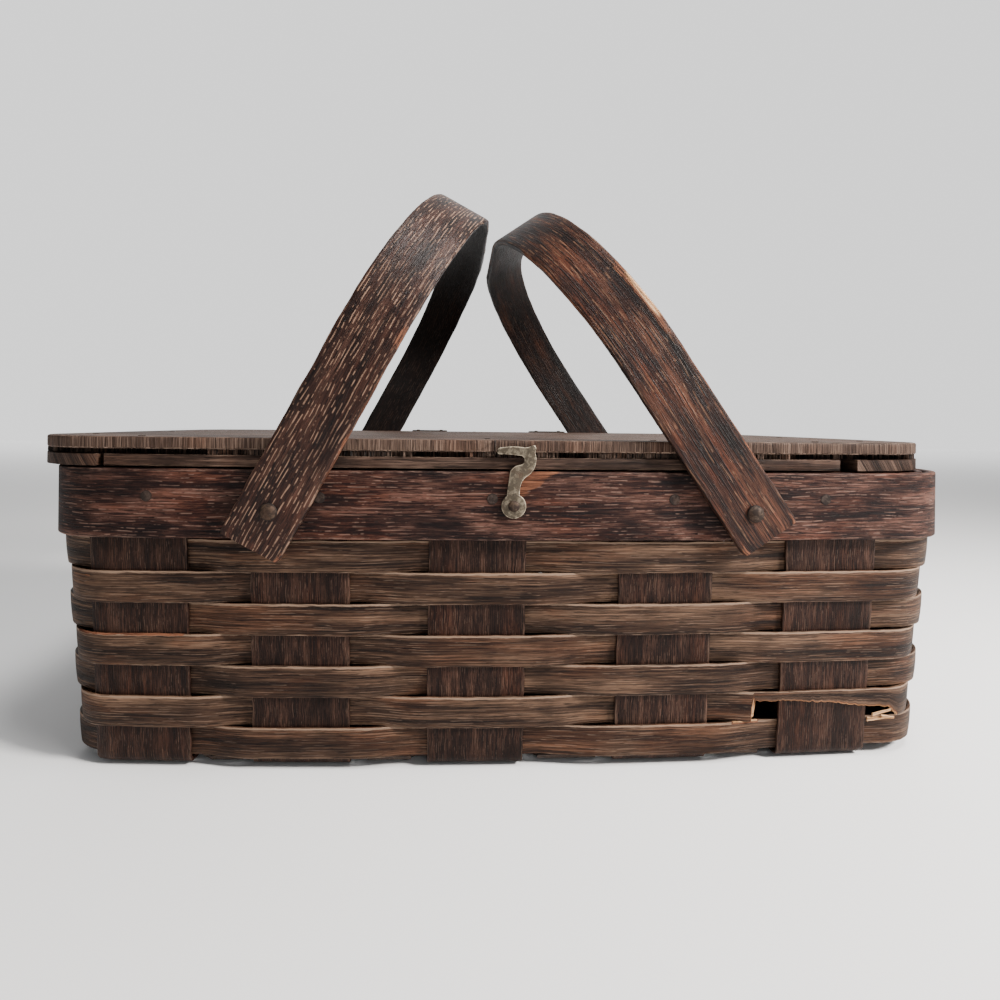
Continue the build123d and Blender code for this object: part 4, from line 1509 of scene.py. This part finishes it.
@dataclass
class LidLayer:
    """One layer of the lid with the lid's whole outline, made as a round disc and stretched onto it."""

    name: str
    low: float
    high: float
    ease: float
    steps: int
    inset_of: Callable[[float, float], float]
    disc: float = 1000.0
    heart: float = 260.0
    shoulder: float = 30.0
    end_grain: float = 20.0

    def profile(self) -> list[tuple[float, float]]:
        """Lay out half a section of the layer.

        Returns:
            Distance in from the edge and height, from the top's middle round the edge to the
            bottom's.
        """
        deep = (self.heart, 120.0, 60.0, self.shoulder, 18.0, 9.0, 4.0)
        e = self.ease
        top = [(d, self.high) for d in deep]
        round_top = [(e, self.high), (e * 0.3, self.high - e * 0.3), (0.0, self.high - e)]
        side = [(0.0, self.low + (self.high - self.low) * k) for k in (0.68, 0.5, 0.32)]
        round_low = [(0.0, self.low + e * 0.6), (e * 0.6, self.low)]
        return top + round_top + side + round_low + [(d, self.low) for d in reversed(deep)]

    def round_disc(self) -> bmesh.types.BMesh:
        """Turn the profile once round, far enough out for its middle to stay open.

        Returns:
            The mesh, its middle filled.
        """
        profile = self.profile()
        mesh = bmesh.new()
        bmesh.ops.create_grid(mesh, x_segments=self.steps, y_segments=len(profile) - 1, size=0.5)
        for vert in mesh.verts:
            deep, z = profile[round((vert.co.y + 0.5) * (len(profile) - 1))]
            turn = (vert.co.x + 0.5) * 2 * math.pi
            radius = self.disc - deep
            vert.co = Vector((radius * math.cos(turn), radius * math.sin(turn), z))
        bmesh.ops.remove_doubles(mesh, verts=mesh.verts[:], dist=0.0005)
        bmesh.ops.holes_fill(mesh, edges=mesh.edges[:], sides=0)
        mesh.verts.index_update()
        return mesh

    def outline(self, angle: float, deep: float) -> tuple[float, float]:
        """Find where a point of the disc comes to lie in the lid.

        Args:
            angle: Angle of the outline's normal there.
            deep: Distance in from the edge.

        Returns:
            Its x and y.
        """
        x, y = LID.point(angle, min(deep, self.shoulder))
        if deep > self.shoulder:
            share = (self.heart - deep) / (self.heart - self.shoulder) * 0.97 + 0.03
            return LID.shift + (x - LID.shift) * share, y * share
        bite = self.inset_of(x, y) * (1 - deep / self.shoulder)
        return LID.point(angle, min(self.shoulder, deep + bite))

    def build(self, seed: float) -> Piece:
        """Stretch the disc onto the outline.

        Args:
            seed: Its stretch of grain.

        Returns:
            The object.
        """
        walk = LID.walk(0.0, 0.0)
        girth = walk[-1][0]
        mesh = self.round_disc()
        grain = mesh.loops.layers.uv.new("grain")
        across = mesh.loops.layers.uv.new("across")
        mesh.loops.layers.uv.new("wear")
        spots: dict[int, tuple[float, ...]] = {}
        for vert in mesh.verts:
            turn = math.atan2(vert.co.y, vert.co.x) % (2 * math.pi)
            gone = girth * turn / (2 * math.pi)
            deep = self.disc - math.hypot(vert.co.x, vert.co.y)
            spots[vert.index] = (gone, deep)
            vert.co = Vector((*self.outline(read_table(walk, gone)[0], deep), vert.co.z))
        middle = (self.low + self.high) / 2
        for face in mesh.faces:
            face.normal_update()
            upright = abs(face.normal.z) < 0.7
            for loop in face.loops:
                gone, deep = spots[loop.vert.index]
                x, y, z = loop.vert.co
                if upright:
                    loop[grain].uv = (z * MM + seed, gone * MM)
                    loop[across].uv = (1, 0.5 + (z - middle) / (self.high - self.low))
                else:
                    loop[grain].uv = (x * MM + seed, y * MM)
                    loop[across].uv = (1, 1 - min(deep, self.end_grain / 2) / self.end_grain)
        bmesh.ops.scale(mesh, vec=(MM, MM, MM), verts=mesh.verts[:])
        bmesh.ops.recalc_face_normals(mesh, faces=mesh.faces[:])
        return finish_mesh(mesh, self.name)


@dataclass
class Lid:
    """The built-up lid: a board, a thin layer under it, and cleats and strips under that."""

    bottom: float = 147.3
    frame: float = 5.6
    core: float = 2.6
    strip_width: float = 32.0
    left_cleat: float = 44.0
    right_cleat: float = 54.0
    left_gap: float = 47.0
    right_gap: float = 63.0
    breaks: tuple[tuple[float, float], ...] = ((-228.0, -145.4), (-49.4, -22.9), (20.0, 35.0), (136.3, 206.0))

    def board_edge(self, x: float, y: float) -> float:
        """How far wear has eaten into the board's edge."""
        return 0.16 + 0.14 * wander(x / 9, y / 9, 3) + 0.1 * wander(x / 1.1, y / 1.1, 5)

    def core_edge(self, x: float, y: float) -> float:
        """Find how far the thin layer's edge is broken back.

        Args:
            x: The edge's x.
            y: The edge's y.

        Returns:
            The distance.
        """
        ragged = 1.6 + 1.1 * wander(x / 6, y / 6, 11) + 0.9 * wander(x / 0.8, y / 0.8, 13)
        if y < 0:
            for low, high in self.breaks:
                if low < x < high:
                    ragged += min(6.0, min(x - low, high - x) * 2.5) + wander(x / 1.0, 0, 17)
        return max(0.2, ragged)

    def cleat(self, name: str, x0: float, x1: float, seed: float) -> Piece:
        """A cleat across the lid's end, its grain from front to back.

        Args:
            name: The object's name.
            x0: Its left side.
            x1: Its right side.
            seed: Its stretch of grain.

        Returns:
            The object.
        """
        length, width = LID.depth, x1 - x0
        at_left = x0 < LID.shift
        low = x0 + 0.15 if at_left else x0
        high = x1 if at_left else x1 - 0.15

        def lay(x: float, y: float, z: float) -> Vector:
            """Place a flat point, its X turned to run from front to back.

            Args:
                x: Distance along the cleat.
                y: Distance across it.
                z: Distance through it.

            Returns:
                The point's place.
            """
            across = low + (high - low) * (y / width + 0.5) + 0.12 * wander(x / 6, y / 8, seed)
            across = min(max(across, x0 + 0.1), x1 - 0.1)
            reach = LID.half_depth(across, 0.15) * (2 * x / length - 1)
            sag = 0.1 * wander(x / 40, y / 30, seed) + 0.08 * wander(x / 5, y / 2, seed)
            return Vector((across, reach, self.bottom + self.frame / 2 + z * 0.975 + sag * 0.5))

        return Strip(name, length, width, self.frame, step=3.0, rows=24).build(lay, seed)

    def batten(self, name: str, side: float, x0: float, x1: float, seed: float) -> Piece:
        """A strip along the lid's front or back.

        Args:
            name: The object's name.
            side: -1 at the front, 1 at the back.
            x0: Its left end.
            x1: Its right end.
            seed: Its stretch of grain.

        Returns:
            The object.
        """
        length, width = x1 - x0, self.strip_width
        inner = LID.depth / 2 - width

        def lay(x: float, y: float, z: float) -> Vector:
            """Place a flat point so that the strip follows the lid's edge.

            Args:
                x: Distance along the strip.
                y: Distance across it.
                z: Distance through it.

            Returns:
                The point's place.
            """
            edge = LID.half_depth(x0 + x, 0.1)
            share = y / width + 0.5
            chew = 0.14 * wander(x / 5, z / 3, seed) + 0.1 * wander(x / 1.6, z, seed)
            deep = inner + (edge - inner) * share - max(0.0, share - 0.9) * 10 * (0.25 + chew)
            sag = 0.12 * wander(x / 30, y / 20, seed)
            return Vector((x0 + x, side * deep, self.bottom + self.frame / 2 + z * 0.97 + sag * 0.5))

        return Strip(name, length, width, self.frame, step=2.0, rows=12).build(lay, seed)

    def make(self, board: Material, core: Material, frame: Material) -> None:
        """Make and dress the lid's layers.

        Args:
            board: Finish of the top board.
            core: Finish of the thin layer.
            frame: Finish of the strips and cleats.
        """
        low = self.bottom + self.frame
        middle = low + self.core
        thin = LidLayer("oak_lid_core", low, middle, ease=0.3, steps=3200, inset_of=self.core_edge)
        settle(thin.build(4.0), "lid", "lid_board_wood", core, "lid_core")
        thick = LidLayer("oak_lid_board", middle, LID_TOP, ease=0.9, steps=2400, inset_of=self.board_edge)
        settle(thick.build(1.0), "lid", "lid_board_wood", board, "lid_board")
        left, right = LID.shift - LID.length / 2, LID.shift + LID.length / 2
        ends = (left + self.left_gap, right - self.right_gap)
        pieces = {
            "lid_left_cleat": self.cleat("oak_left_cleat", left, left + self.left_cleat, 61),
            "lid_right_cleat": self.cleat("oak_right_cleat", right - self.right_cleat, right, 63),
            "lid_front_strip": self.batten("oak_front_strip", -1.0, *ends, 65),
            "lid_back_strip": self.batten("oak_back_strip", 1.0, *ends, 67),
        }
        for node, piece in pieces.items():
            settle(piece, "lid", "lid_frame_wood", frame, node)


@dataclass(frozen=True)
class Lamp:
    """A square soft light, in metres and watts."""

    name: str
    spot: Spot
    aim: Spot
    size: float
    power: float
    tint: Colour

    def make(self) -> None:
        """Hang the light."""
        data = bpy.data.lights.new(self.name, "AREA")
        data.size = self.size
        data.energy = self.power
        data.color = self.tint
        made = bpy.data.objects.new(self.name, data)
        made.location = self.spot
        made.rotation_euler = (Vector(self.spot) - Vector(self.aim)).to_track_quat("Z", "Y").to_euler()
        bpy.context.scene.collection.objects.link(made)


@dataclass
class Studio:
    """Floor, backdrop, lights and camera of the photograph, in metres."""

    floor_tone: Colour = (0.86, 0.86, 0.86)
    far_glow: Colour = (0.52, 0.52, 0.52)
    glow_y: tuple[float, float] = (0.35, 3.6)
    glow: float = 1.35
    sky: float = 0.24
    floor_size: float = 25.0
    sheet_size: float = 4.5
    sheet_spot: Spot = (0, 4.5, 4.4)
    lens: float = 23.395
    shift: tuple[float, float] = (0.01105, -0.07726)
    eye: Spot = (-0.02806, -0.44634, 0.16943)
    turn: Spot = (math.radians(90), -0.011, -0.049)
    lamps: tuple[Lamp, ...] = (
        Lamp("key", (0.86, -0.54, 0.72), (0.06, -0.1, 0.08), 0.2, 33.0, (1.0, 0.96, 0.92)),
        Lamp("fill", (0.3, -1.8, 0.7), (0, 0, 0.1), 1.2, 4.0, (0.95, 0.97, 1.0)),
        Lamp("top", (0.25, -0.35, 1.2), (0, 0, 0.1), 0.4, 12.0, (1.0, 0.98, 0.96)),
    )

    def floor(self) -> None:
        """A plain pale floor with a painted glow that brightens it towards the backdrop."""
        mesh = bmesh.new()
        bmesh.ops.create_grid(mesh, x_segments=2, y_segments=2, size=self.floor_size)
        made = finish_mesh(mesh, "studio_floor")
        f = Finish("studio_floor")
        _, far, _ = f.xyz()
        # Painted light: the floor glows more the farther back it lies
        light = f.mix(far.rise(*self.glow_y), (0.0, 0.0, 0.0), self.far_glow)
        f.set(Base_Color=self.floor_tone, Roughness=0.9, Emission_Color=light, Emission_Strength=self.glow)
        made.data.materials.append(f.material)

    def backdrop(self) -> None:
        """A pale upright sheet far behind the basket."""
        mesh = bmesh.new()
        bmesh.ops.create_grid(mesh, x_segments=2, y_segments=2, size=self.sheet_size)
        forward = Vector((0, -1, 0)).to_track_quat("Z", "Y").to_matrix()
        bmesh.ops.rotate(mesh, verts=mesh.verts[:], matrix=forward)
        bmesh.ops.translate(mesh, vec=self.sheet_spot, verts=mesh.verts[:])
        made = finish_mesh(mesh, "studio_backdrop")
        f = Finish("studio_backdrop")
        f.set(Base_Color=(0.0, 0.0, 0.0), Roughness=1.0, Emission_Color=(1.0, 1.0, 1.0))
        f.set(Emission_Strength=self.glow)
        made.data.materials.append(f.material)

    def camera(self) -> None:
        """The camera at the photograph's view."""
        data = bpy.data.cameras.new("photo_camera")
        data.sensor_width = 36.0
        data.lens = self.lens
        data.shift_x, data.shift_y = self.shift
        data.clip_start = 0.01
        made = bpy.data.objects.new("photo_camera", data)
        made.location = self.eye
        made.rotation_euler = self.turn
        bpy.context.scene.collection.objects.link(made)
        bpy.context.scene.camera = made

    def make(self) -> None:
        """Set up the studio."""
        self.floor()
        self.backdrop()
        for lamp in self.lamps:
            lamp.make()
        world = bpy.data.worlds.new("studio_world")
        world.use_nodes = True
        sky = world.node_tree.nodes["Background"].inputs
        sky[0].default_value = (1.0, 1.0, 1.0, 1.0)
        sky[1].default_value = self.sky
        bpy.context.scene.world = world
        self.camera()


# The basket's own finishes and bows, and the build

OAK = (
    OakFinish(
        Use.WEAVER, (0.006, 0.003, 0.0019), (0.038, 0.0195, 0.012), (0.092, 0.053, 0.033),
        (0.27, 0.18, 0.125), streak_length=0.05, streak_width=0.0011, spread=0.72, edge_wear=0.7,
        side_wear=0.4, grime=0.5, hairs=0.6, hair=Rows(0.0013, 0.026, 0.47), dashes=0.30,
        dash=Rows(0.0012, 0.009, 0.50),
    ),
    OakFinish(
        Use.UPRIGHT, (0.004, 0.0017, 0.0012), (0.016, 0.0066, 0.0044), (0.052, 0.025, 0.0165),
        (0.15, 0.09, 0.062), streak_length=0.020, spread=0.8, fibre=0.34, edge_wear=0.4, side_wear=0.3,
        hairs=0.75, hair=Rows(0.0010, 0.007, 0.46), dashes=0.35, dash=Rows(0.0011, 0.004, 0.52), mottle=0.6,
    ),
    OakFinish(
        Use.RIM, (0.003, 0.0012, 0.0014), (0.020, 0.0074, 0.0054), (0.075, 0.035, 0.025), (0.24, 0.145, 0.11),
        streak_length=0.024, streak_width=0.0012, spread=0.75, edge_wear=0.6, side_wear=0.3, warm=0.6,
        grime=0.7, hairs=0.65, hair=Rows(0.0016, 0.012, 0.48), dashes=0.42, dash=Rows(0.0017, 0.005, 0.50),
    ),
    OakFinish(
        Use.LEFT_BOW, (0.004, 0.0015, 0.0011), (0.018, 0.0065, 0.0043), (0.042, 0.018, 0.012),
        (0.24, 0.145, 0.098), streak_length=0.02, spread=0.85, dashes=0.8, edge_wear=0.35, warm=0.4,
        grime=0.5, gloss=0.46, shine=0.2, inner_shade=0.9, hairs=0.6, hair=Rows(0.0016, 0.006, 0.48),
    ),
    OakFinish(
        Use.RIGHT_BOW, (0.0032, 0.0014, 0.0012), (0.018, 0.0058, 0.0034), (0.070, 0.026, 0.014),
        (0.30, 0.16, 0.09), streak_length=0.03, streak_width=0.0012, spread=0.75, dashes=0.3,
        dash=Rows(0.0021, 0.007, 0.50), edge_wear=0.4, warm=0.6, grime=0.7, gloss=0.52, shine=0.18,
        inner_shade=0.78, hairs=0.8, hair=Rows(0.0016, 0.016, 0.46),
    ),
    OakFinish(
        Use.LID_TOP, (0.013, 0.007, 0.0052), (0.054, 0.032, 0.023), (0.145, 0.096, 0.072),
        (0.34, 0.235, 0.175), spread=0.9, edge_wear=0.7, warm=0.3, grime=0.4, mottle=0.3,
        hairs=0.55, hair=Rows(0.0012, 0.02, 0.46), dashes=0.28, dash=Rows(0.0010, 0.02, 0.50),
    ),
    OakFinish(
        Use.LID_CORE, (0.007, 0.0045, 0.0035), (0.036, 0.022, 0.016), (0.12, 0.08, 0.06), (0.34, 0.25, 0.18),
        edge_wear=0.4, hairs=0.9, hair=Rows(0.0024, 0.02, 0.40),
    ),
    OakFinish(
        Use.LID_FRAME, (0.006, 0.0035, 0.0025), (0.036, 0.020, 0.014), (0.105, 0.066, 0.048),
        (0.32, 0.22, 0.16), streak_width=0.0008, side_wear=0.3, warm=0.3,
    ),
)
IRON = (
    IronFinish("rivet_bronze", (0.015, 0.008, 0.005), (0.070, 0.044, 0.028), ring=0.0046, metal=0.12),
    IronFinish("nail_iron", (0.012, 0.007, 0.005), (0.042, 0.026, 0.019), ring=0.0029, metal=0.05),
    IronFinish("staple_wire", (0.010, 0.006, 0.004), (0.045, 0.030, 0.022), rubbed=0.6),
    IronFinish("hinge_iron", (0.016, 0.011, 0.008), (0.075, 0.058, 0.046), rubbed=0.6, metal=0.25),
    IronFinish("hook_iron", (0.060, 0.047, 0.032), (0.22, 0.185, 0.135), rubbed=0.85),
)
HIDDEN = GrainFinish("hidden_oak", 1, (0.02, 0.011, 0.008), (0.085, 0.052, 0.036))
BOWS = {
    Use.LEFT_BOW: Bow(
        "oak_left_bow", -1.0, 28.1, 19.0, 51, "left_handle", "left_bow",
        (
            (113.0, 127.0, 12.6, 19.0, 0.93), (40.0, 113.0, 14.8, 18.0, 0.7), (-9.0, 4.0, 13.0, 18.0, 0.7),
            (150.0, 235.0, -18.0, -15.0, 0.56),
        ),
    ),
    Use.RIGHT_BOW: Bow(
        "oak_right_bow", 1.0, 34.2, 14.5, 57, "right_handle", "right_bow",
        (
            (110.0, 153.0, 11.2, 19.0, 0.98), (30.0, 110.0, 14.6, 18.0, 0.85), (-9.0, 4.0, 13.0, 18.0, 0.95),
            (-9.0, 4.5, -18.0, -13.0, 0.98), (120.0, 196.0, -18.0, -14.6, 0.62),
        ),
    ),
}


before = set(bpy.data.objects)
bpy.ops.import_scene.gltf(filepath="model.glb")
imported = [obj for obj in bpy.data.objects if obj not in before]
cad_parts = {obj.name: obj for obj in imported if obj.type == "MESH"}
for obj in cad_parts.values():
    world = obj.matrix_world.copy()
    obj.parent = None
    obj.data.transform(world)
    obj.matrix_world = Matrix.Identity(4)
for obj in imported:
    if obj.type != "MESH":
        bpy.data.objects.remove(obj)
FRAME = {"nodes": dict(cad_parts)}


def main() -> None:
    """Build and dress the basket."""
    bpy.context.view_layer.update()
    oak = {finish.use: finish.make() for finish in OAK}
    iron = {finish.name: finish.make() for finish in IRON}
    WovenBody().make(oak[Use.WEAVER], oak[Use.UPRIGHT], HIDDEN.make())
    RimBands().make(oak[Use.RIM])
    for use, bow in BOWS.items():
        bow.make(oak[use])
    Lid().make(oak[Use.LID_TOP], oak[Use.LID_CORE], oak[Use.LID_FRAME])
    Metalwork().make(iron)
    Studio().make()


if __name__ == "__main__":
    logging.basicConfig(level=logging.INFO)
    main()
